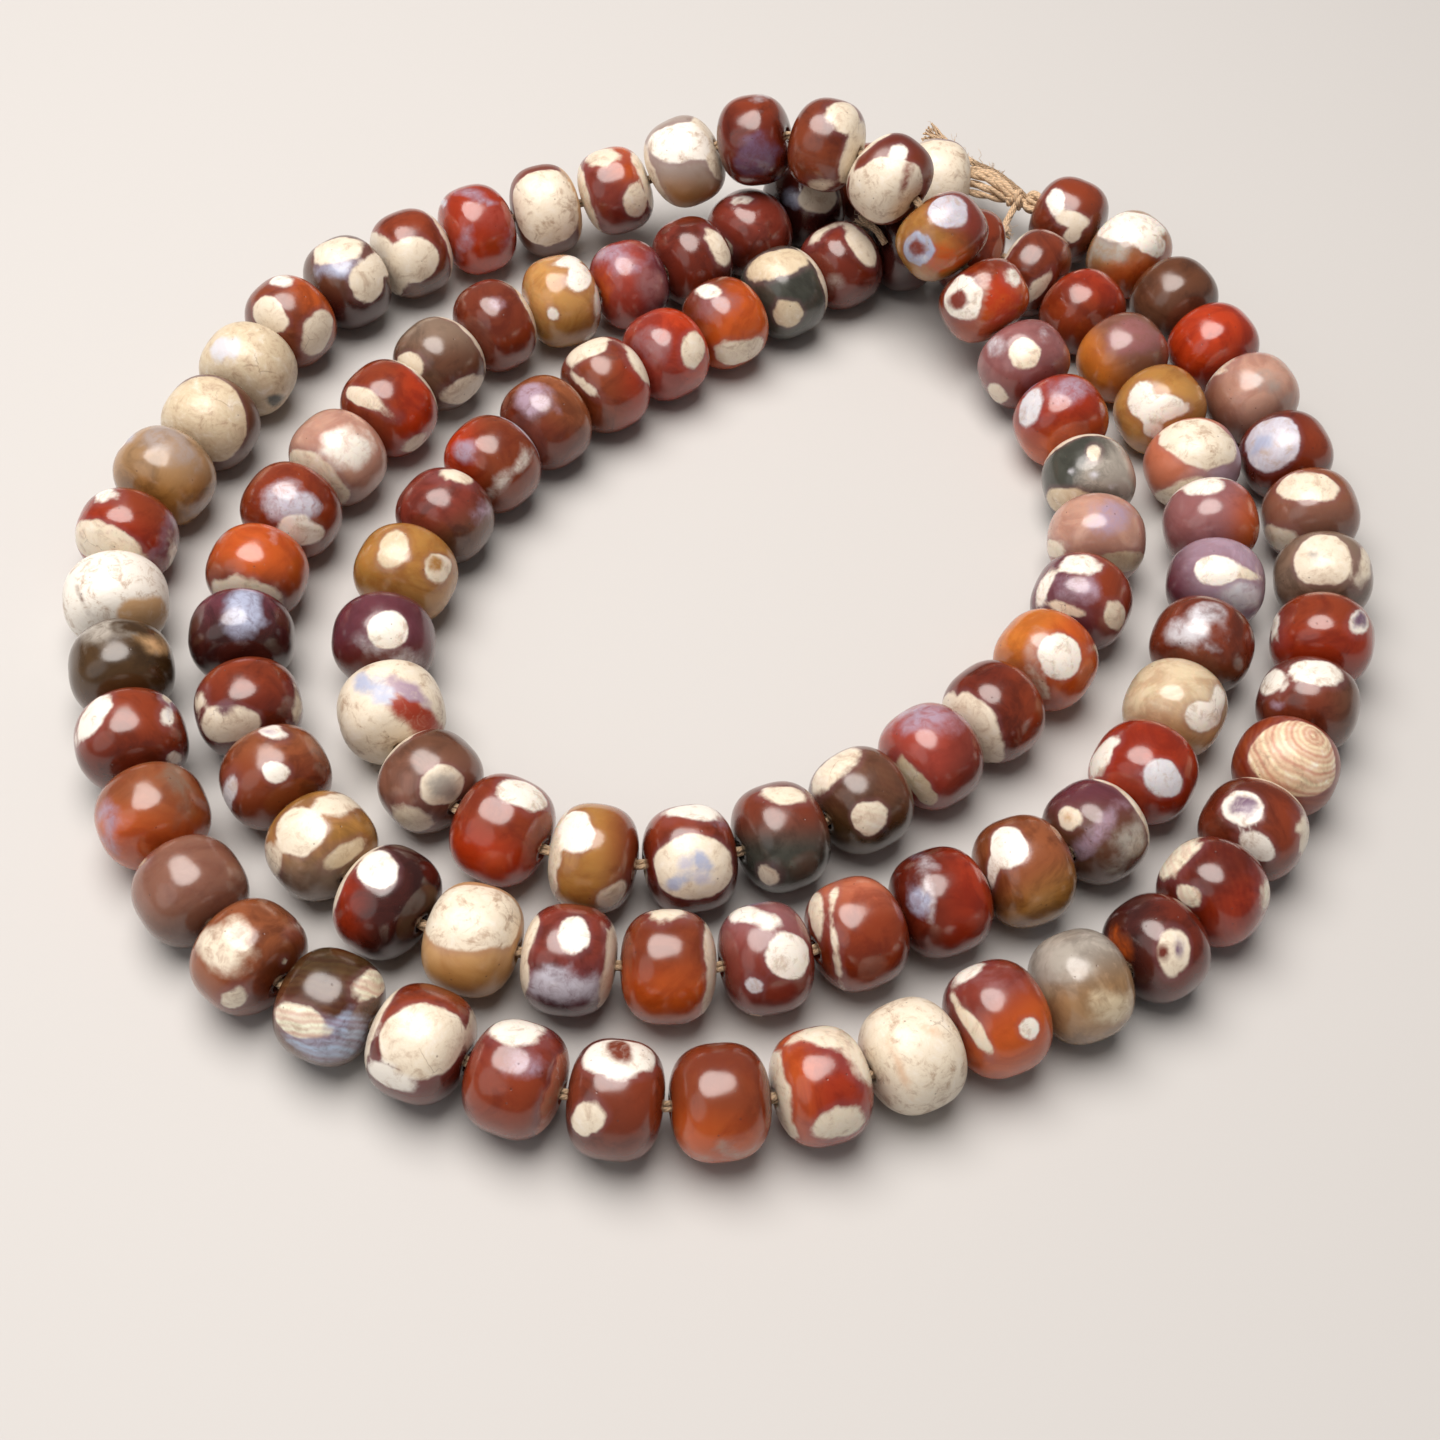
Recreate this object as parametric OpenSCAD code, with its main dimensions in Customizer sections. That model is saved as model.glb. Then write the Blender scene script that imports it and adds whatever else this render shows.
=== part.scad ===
// Dzi bead necklace: 108 drum-shaped agate beads on one closed string of cotton yarn,
// laid down in three turns, the last beads of which cross over the other two.
// Sizes are in millimetres, and the surface that the necklace lies on is z = 0.

/* [Beads] */
// Number of beads on the string
bead_count = 108; // [100:1:116]
// Diameter of the largest beads, across the hole
bead_d = 12; // [10:0.1:12]
// Length of a bead on a straight stretch of string
bead_len = 9.8; // [8:0.1:12]
// Free room between two neighbouring beads
bead_gap = 0.2; // [0.1:0.05:0.6]
// How full the shoulders are: 2 is an egg shape, more is a drum
bead_fullness = 2.7; // [2.2:0.1:3]
// Distance from the hole at which two beads meet where the string bends
meeting_radius = 1.6; // [1.5:0.1:3]
// Diameter of the hole drilled through each bead
bore_d = 2; // [1.8:0.1:3]

/* [Yarn] */
// Diameter of the string inside the beads
thread_d = 1.3; // [0.8:0.1:1.4]
// Width of the loose bundle of strands where the string is bare
bundle_d = 2.8; // [1.6:0.1:3.4]
// Diameter of the knot that closes the string
knot_d = 3.2; // [3:0.1:4]
// Length of the knot along the string
knot_len = 2.6; // [2:0.1:3]
// Diameter of one loose end of yarn
end_d = 1.1; // [0.8:0.1:1.3]
// Free room between the knot and the yarn that leaves it
yarn_gap = 0.1; // [0.05:0.05:0.3]

/* [Hidden] */

$fn = 48;
profile_steps = 8;
thread_sides = 6;
yarn_sides = 8;

bead_r = bead_d / 2;
bore_r = bore_d / 2;
bead_pitch = bead_len + bead_gap;

// Sizes of single beads as shares of bead_d, taken in turn along the string
size_mix = [1, 0.98, 0.99, 0.965, 1, 0.985, 0.97, 0.995, 0.975, 0.99, 0.97];

// Body colours of the stones, taken in turn along the string
stone_colours = ["saddlebrown", "maroon", "wheat", "firebrick", "tan", "orangered", "brown",
    "rosybrown", "sienna", "cornsilk", "peru", "dimgray", "darkred"];
yarn_colour = "burlywood";

// The string is counted in places, each with room for one bead. One place has no bead:
// there the string is bare and tied.
bare_place = 42;
knot_place = 41.8;
places = bead_count + 1;

// Route of the string, on the table seen from above: place, x, y and rise.
// Rise is a share of bead_d: 0 lies on the table, 1 lies on top of another bead.
PLACE = 0;
X = 1;
Y = 2;
RISE = 3;
outer_turn = [
    [0, 5.5, 81, 1.05], [1, -4, 82, 1], [2, -13, 82.5, 0.5], [3, -21.5, 78.5, 0.2],
    [4, -31, 76.5, 0.02], [6, -47, 65.5, 0], [8, -60, 50.5, 0], [10, -65, 31.5, 0],
    [12, -71, 12.5, 0], [14, -66, -6.5, 0], [16, -58, -25, 0], [18, -44.5, -40.5, 0],
    [20, -25.5, -47.5, 0], [22, -6, -51.5, 0], [24, 14, -47.5, 0], [26, 31, -37.5, 0],
    [28, 48, -27.5, 0], [30, 59, -11, 0], [32, 66.5, 7, 0], [34, 70, 26.5, 0],
    [36, 67, 46.5, 0], [38, 58.5, 64.5, 0], [40, 48.5, 81, 0], [41, 40, 87, 0]];
middle_turn = [
    [43, 21.5, 92, 0], [45, 3, 85, 0], [46, -3, 76, 0], [48, -18, 64, 0],
    [50, -34.5, 54, 0], [52, -44.5, 37, 0], [54, -53, 19, 0], [56, -54.5, -0.5, 0],
    [58, -46.5, -18.5, 0], [60, -32, -32.5, 0], [62, -12.5, -36.5, 0], [64, 7.5, -34, 0],
    [66, 25, -24.5, 0], [68, 42, -14, 0], [70, 51, 4.5, 0], [72, 57, 23.5, 0],
    [74, 55, 43, 0], [76, 46.5, 60.5, 0], [78, 35.5, 75.5, 0]];
inner_turn = [
    [80, 17, 78, 0], [82, 2, 65.5, 0], [84, -12, 52, 0], [86, -25.5, 38, 0],
    [88, -35, 21, 0], [90, -39, 1.5, 0], [92, -30.5, -17, 0], [94, -11.5, -24.5, 0],
    [96, 8, -19, 0], [98, 23.5, -6, 0], [100, 36.5, 9, 0], [102, 43, 28.5, 0],
    [104, 39, 48, 0], [105, 33, 56.5, 0.02], [106, 28.5, 64.5, 0.3],
    [107, 21, 69.5, 0.75], [108, 14.5, 75.5, 1.1]];
route = concat(outer_turn, middle_turn, inner_turn);
route_places = 109;
stations = len(route);

// Loose ends of yarn: x, y and z on the same drawing as the route
long_end_route = [[32.9, 92, 7.1], [29.2, 94.8, 7.3], [26.2, 97.2, 7.3], [23.2, 99.2, 7],
    [20, 102.2, 6]];
short_end_route = [[32, 87.6, 5], [31.4, 85.6, 5], [31.3, 83.6, 5.4], [31.3, 82, 5.8]];
tucked_end_route = [[14.6, 73.2, 9.7], [13.5, 74.5, 10.4], [12.2, 76.1, 10.2], [11, 77.7, 9.3]];

// Row i of the route, counted on round the closed string
function row(i) = let (turn = floor(i / stations), r = route[i - turn * stations])
    [r[PLACE] + turn * route_places, r[X], r[Y], r[RISE]];

// Last row of the route at or before a place
function row_at(p) = len([for (r = route) if (r[PLACE] <= p) r]) - 1;

// Smooth curve through the rows: x, y and rise at a place of the drawn route
function blend(p, i) = let (
    a = row(i), b = row(i + 1), before = row(i - 1), after = row(i + 2),
    span = b[PLACE] - a[PLACE],
    u = (p - a[PLACE]) / span,
    lead = (b - before) * span / (b[PLACE] - before[PLACE]),
    tail = (after - a) * span / (after[PLACE] - a[PLACE]),
    v = (2 * u ^ 3 - 3 * u ^ 2 + 1) * a + (u ^ 3 - 2 * u ^ 2 + u) * lead
        + (3 * u ^ 2 - 2 * u ^ 3) * b + (u ^ 3 - u ^ 2) * tail)
    [v[1], v[2], v[3]];
function drawn(p) = let (q = p - floor(p / route_places) * route_places) blend(q, row_at(q));

// The drawn route is spread until the string on it has room for every bead
drawn_length = sum([for (p = [0:route_places - 1]) let (step = drawn(p + 0.5) - drawn(p - 0.5))
    norm([step.x, step.y, step.z * bead_d])]);
spread = places * bead_pitch / drawn_length;
function sum(list) = list * [for (value = list) 1];

// Point of the string at a place: whole numbers are bead centres, halves lie between beads
function string_at(p) = let (d = drawn(p * route_places / places))
    [d.x * spread, d.y * spread, bead_r + max(d.z, 0) * bead_d];
function unit(v) = v / norm(v);
function heading(p) = unit(string_at(p + 0.5) - string_at(p - 0.5));
function bend_after(p) = acos(min(1, heading(p) * heading(p + 1)));
function is_bare(p) = (p + places) % places == bare_place;

// Room that a bead leaves at each end, so that it clears the next bead where the string bends
function end_room(p, next) = bead_gap / 2
    + (is_bare(next) ? 0 : meeting_radius * tan(bend_after(min(p, next)) / 2));

function bead_place(i) = i < bare_place ? i : i + 1;
function bead_radius(i) = bead_r * size_mix[i % len(size_mix)];
function rests(p) = string_at(p).z < bead_r + 0.1;

// A bead is [centre, heading, radius, half length]
function bead(i) = let (
    p = bead_place(i),
    start = string_at(p - 0.5), end = string_at(p + 0.5),
    along = unit(end - start),
    from = start + along * end_room(p, p - 1),
    to = end - along * end_room(p, p + 1),
    drop = rests(p) ? bead_r - bead_radius(i) : 0)
    [(from + to) / 2 - [0, 0, drop], along, bead_radius(i), norm(to - from) / 2];
bead_list = [for (i = [0:bead_count - 1]) bead(i)];

// How far a bead reaches from the origin in a direction
function reach(b, dir) = let (
    power = bead_fullness / (bead_fullness - 1),
    across = sqrt(max(0, 1 - (b[1] * dir) ^ 2)))
    b[0] * dir + ((b[2] * across) ^ power + (b[3] * abs(b[1] * dir)) ^ power) ^ (1 / power);
function end_reach(dir) = max([for (q = long_end_route) (q * spread) * dir]) + end_d / 2;
function furthest(dir) = max(max([for (b = bead_list) reach(b, dir)]), end_reach(dir));

// The origin is under the middle of the whole necklace
middle = [(furthest([1, 0, 0]) - furthest([-1, 0, 0])) / 2,
    (furthest([0, 1, 0]) - furthest([0, -1, 0])) / 2, 0];

// Half outline of a bead, from the hole's rim at one end to the rim at the other
function drum(r, half) = let (
    power = 2 / bead_fullness,
    rim = acos((bore_r / r) ^ (1 / power)))
    [for (k = [0:profile_steps]) let (a = rim * (2 * k / profile_steps - 1))
        [r * cos(a) ^ power, half * sign(a) * abs(sin(a)) ^ power]];

// Tube along a path, with its own radius at each point
module tube(path, radii, sides) {
    last = len(path) - 1;
    rings = [for (i = [0:last]) let (
        along = unit(path[min(i + 1, last)] - path[max(i - 1, 0)]),
        side = unit(cross(along, [0, 0, 1])),
        up = cross(side, along))
        for (k = [0:sides - 1]) let (a = 360 * k / sides)
            path[i] + radii[i] * (cos(a) * side + sin(a) * up)];
    walls = [for (i = [0:last - 1]) for (k = [0:sides - 1]) let (n = (k + 1) % sides)
        [i * sides + k, i * sides + n, (i + 1) * sides + n, (i + 1) * sides + k]];
    first_cap = [for (k = [sides - 1:-1:0]) k];
    last_cap = [for (k = [0:sides - 1]) last * sides + k];
    polyhedron(points = rings, faces = concat(walls, [first_cap, last_cap]), convexity = 10);
}

// Turns something that stands on the z axis so that it lies along a heading
module aligned(centre, along) {
    translate(centre)
        rotate([0, acos(along.z), atan2(along.y, along.x)])
            children();
}

// One drilled bead
module drilled_bead(b) {
    aligned(b[0], b[1])
        rotate_extrude() polygon(drum(b[2], b[3]));
}

module beads() {
    translate(-middle)
        for (i = [0:bead_count - 1])
            color(stone_colours[i % len(stone_colours)]) drilled_bead(bead_list[i]);
}

// The string runs from one face of the knot through every bead to the knot's other face
knot_centre = string_at(knot_place);
knot_along = unit(string_at(knot_place + 0.2) - string_at(knot_place - 0.2));
knot_reach = knot_len / 2 + yarn_gap;
before_knot = string_at(bare_place - 0.5);
after_knot = string_at(bare_place + 0.5);

module thread() {
    knot_exit = knot_centre + knot_along * knot_reach;
    knot_entry = knot_centre - knot_along * knot_reach;
    fan_after = knot_exit + (after_knot - knot_exit) * 0.6;
    fan_before = knot_entry + (before_knot - knot_entry) * 0.4;
    joints = [for (k = [0:bead_count]) string_at(bare_place + 0.5 + k)];
    path = concat([knot_exit, fan_after], joints, [fan_before, knot_entry]);
    radii = concat([thread_d / 2, bundle_d / 2], [for (j = joints) thread_d / 2],
        [bundle_d * 0.35, thread_d / 2]);
    color(yarn_colour) translate(-middle) tube(path, radii, thread_sides);
}

// The knot is a short barrel of three wraps
module knot() {
    wraps = 3;
    steps = 12;
    groove = 0.12;
    outline = [for (k = [0:steps]) let (t = 2 * k / steps - 1)
        [knot_d / 2 * (1 - groove * (1 - cos(180 * wraps * (t + 1))) / 2) * (1 - 0.35 * t ^ 2),
            knot_len / 2 * t]];
    color(yarn_colour) translate(-middle) aligned(knot_centre, knot_along)
        rotate_extrude() polygon(concat([[0, -knot_len / 2]], outline, [[0, knot_len / 2]]));
}

module loose_end(points) {
    path = [for (q = points) [q.x * spread, q.y * spread, q.z]];
    color(yarn_colour) translate(-middle)
        tube(path, [for (q = path) end_d / 2], yarn_sides);
}

// The long end passes behind the first bead after the knot
module long_end() {
    loose_end(long_end_route);
}

// The short end dips into the string, runs hidden through two beads and comes out again,
// where it lies in the groove between two beads
module short_end() {
    loose_end(short_end_route);
    loose_end(tucked_end_route);
}

beads();
thread();
knot();
long_end();
short_end();
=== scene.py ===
"""Dzi bead necklace: drum-shaped agate beads on cotton yarn, laid down in three turns."""
import bpy
import math
import numpy as np
from functools import cache, partial
from mathutils import Matrix, Vector


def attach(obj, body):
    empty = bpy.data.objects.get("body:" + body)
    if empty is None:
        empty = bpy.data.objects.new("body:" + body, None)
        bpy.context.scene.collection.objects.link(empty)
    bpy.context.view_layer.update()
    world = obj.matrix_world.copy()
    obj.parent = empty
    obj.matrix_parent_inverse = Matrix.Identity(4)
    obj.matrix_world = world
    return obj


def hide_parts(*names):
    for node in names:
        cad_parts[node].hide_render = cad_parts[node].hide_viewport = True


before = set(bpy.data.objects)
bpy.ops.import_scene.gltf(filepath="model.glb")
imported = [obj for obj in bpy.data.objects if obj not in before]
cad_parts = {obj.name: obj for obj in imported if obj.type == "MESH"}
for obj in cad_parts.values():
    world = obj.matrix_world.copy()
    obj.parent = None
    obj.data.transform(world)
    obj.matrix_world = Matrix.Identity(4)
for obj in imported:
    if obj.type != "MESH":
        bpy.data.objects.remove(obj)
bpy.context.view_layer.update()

bl_info = {
    "name": "Dzi Bead Necklace",
    "version": (1, 0, 0),
    "blender": (4, 5, 0),
    "location": "View3D > Sidebar > Necklace",
    "description": "Builds a string of agate beads on cotton yarn, as it lies in three turns",
    "category": "Object",
}

MM = 0.001

# The string is counted in places, each with room for one bead. One place has no bead:
# there the string is bare and tied.
BEAD_COUNT = 108
BARE_PLACE = 42
KNOT_PLACE = 41.8
PLACES = BEAD_COUNT + 1
SIZE_MIX = (1, 0.98, 0.99, 0.965, 1, 0.985, 0.97, 0.995, 0.975, 0.99, 0.97)

# Route of the string on the table, in millimetres: place, x, y and rise, which is a share
# of a bead's diameter.
OUTER_TURN = [
    (0, 5.5, 81, 1.05), (1, -4, 82, 1), (2, -13, 82.5, 0.5), (3, -21.5, 78.5, 0.2),
    (4, -31, 76.5, 0.02), (6, -47, 65.5, 0), (8, -60, 50.5, 0), (10, -65, 31.5, 0),
    (12, -71, 12.5, 0), (14, -66, -6.5, 0), (16, -58, -25, 0), (18, -44.5, -40.5, 0),
    (20, -25.5, -47.5, 0), (22, -6, -51.5, 0), (24, 14, -47.5, 0), (26, 31, -37.5, 0),
    (28, 48, -27.5, 0), (30, 59, -11, 0), (32, 66.5, 7, 0), (34, 70, 26.5, 0),
    (36, 67, 46.5, 0), (38, 58.5, 64.5, 0), (40, 48.5, 81, 0), (41, 40, 87, 0)]
MIDDLE_TURN = [
    (43, 21.5, 92, 0), (45, 3, 85, 0), (46, -3, 76, 0), (48, -18, 64, 0),
    (50, -34.5, 54, 0), (52, -44.5, 37, 0), (54, -53, 19, 0), (56, -54.5, -0.5, 0),
    (58, -46.5, -18.5, 0), (60, -32, -32.5, 0), (62, -12.5, -36.5, 0), (64, 7.5, -34, 0),
    (66, 25, -24.5, 0), (68, 42, -14, 0), (70, 51, 4.5, 0), (72, 57, 23.5, 0),
    (74, 55, 43, 0), (76, 46.5, 60.5, 0), (78, 35.5, 75.5, 0)]
INNER_TURN = [
    (80, 17, 78, 0), (82, 2, 65.5, 0), (84, -12, 52, 0), (86, -25.5, 38, 0),
    (88, -35, 21, 0), (90, -39, 1.5, 0), (92, -30.5, -17, 0), (94, -11.5, -24.5, 0),
    (96, 8, -19, 0), (98, 23.5, -6, 0), (100, 36.5, 9, 0), (102, 43, 28.5, 0),
    (104, 39, 48, 0), (105, 33, 56.5, 0.02), (106, 28.5, 64.5, 0.3),
    (107, 21, 69.5, 0.75), (108, 14.5, 75.5, 1.1)]
ROUTE = np.array(OUTER_TURN + MIDDLE_TURN + INNER_TURN, float)
# A bead this little above the table, in millimetres, rests on it
RESTING = 0.1

# Colours of stone and yarn, as sRGB from 0 to 255
TONES = {
    "saddle": (124, 56, 28), "russet": (136, 76, 44), "chestnut": (112, 48, 28), "brown": (94, 54, 32),
    "umber": (98, 62, 44), "maroon": (100, 34, 18), "darkmaroon": (64, 26, 22),
    "rosewood": (122, 50, 38), "plum": (96, 48, 58), "raspberry": (152, 60, 46), "brick": (130, 52, 24),
    "red": (150, 46, 18), "scarlet": (172, 54, 18), "orange": (186, 84, 28), "amber": (196, 116, 44),
    "honey": (188, 140, 80), "fawn": (158, 124, 88), "ochre": (166, 118, 58), "olive": (72, 50, 26),
    "taupe": (126, 104, 88), "grey": (166, 158, 148), "slate": (66, 67, 60), "dusk": (128, 86, 70),
    "mauve": (142, 92, 92), "rose": (186, 144, 126), "salmon": (188, 110, 82), "lilac": (164, 140, 156),
    "violet": (108, 80, 104), "blue": (166, 172, 196), "haze": (208, 206, 212),
    "frost": (192, 188, 200), "mist": (158, 142, 134), "shell": (214, 182, 152),
    "white": (236, 230, 220), "cream": (226, 213, 192), "sand": (208, 190, 160), "tan": (200, 160, 116),
}


def linear(tone):
    """Linear colour of a named tone."""
    s = np.array(TONES[tone]) / 255
    return np.where(s <= 0.04045, s / 12.92, ((s + 0.055) / 1.055) ** 2.4)


def mark(kind, tone, x, y, wide, high, turn=0):
    """A mark as the photograph shows it, x right and y up from the bead's middle."""
    return (kind, tone, x / 100, y / 100, wide / 100, high / 100, turn)


# A chalky patch, a crisp spot over the patches, such as the core of an eye, and a cloudy haze under
# them, soft at its edge. An orange, scarlet or saddle haze on a bead is painted glow of light coming
# through the stone.
patch, spot, haze = (partial(mark, kind) for kind in ("patch", "spot", "haze"))
cream, white = partial(patch, "cream"), partial(patch, "white")


def rim(towards, width, tone="cream"):
    """A thin chalky band round the end that looks in a direction of the photograph."""
    return ("rim", tone, towards, width / 100)


def stripes(towards, strength):
    """Fine straight bands, counted in a direction of the photograph."""
    return ("stripes", towards, strength / 100)


def rings(x, y, strength):
    """Fine bands round a point of the photograph."""
    return ("rings", x / 100, y / 100, strength / 100)
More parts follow.
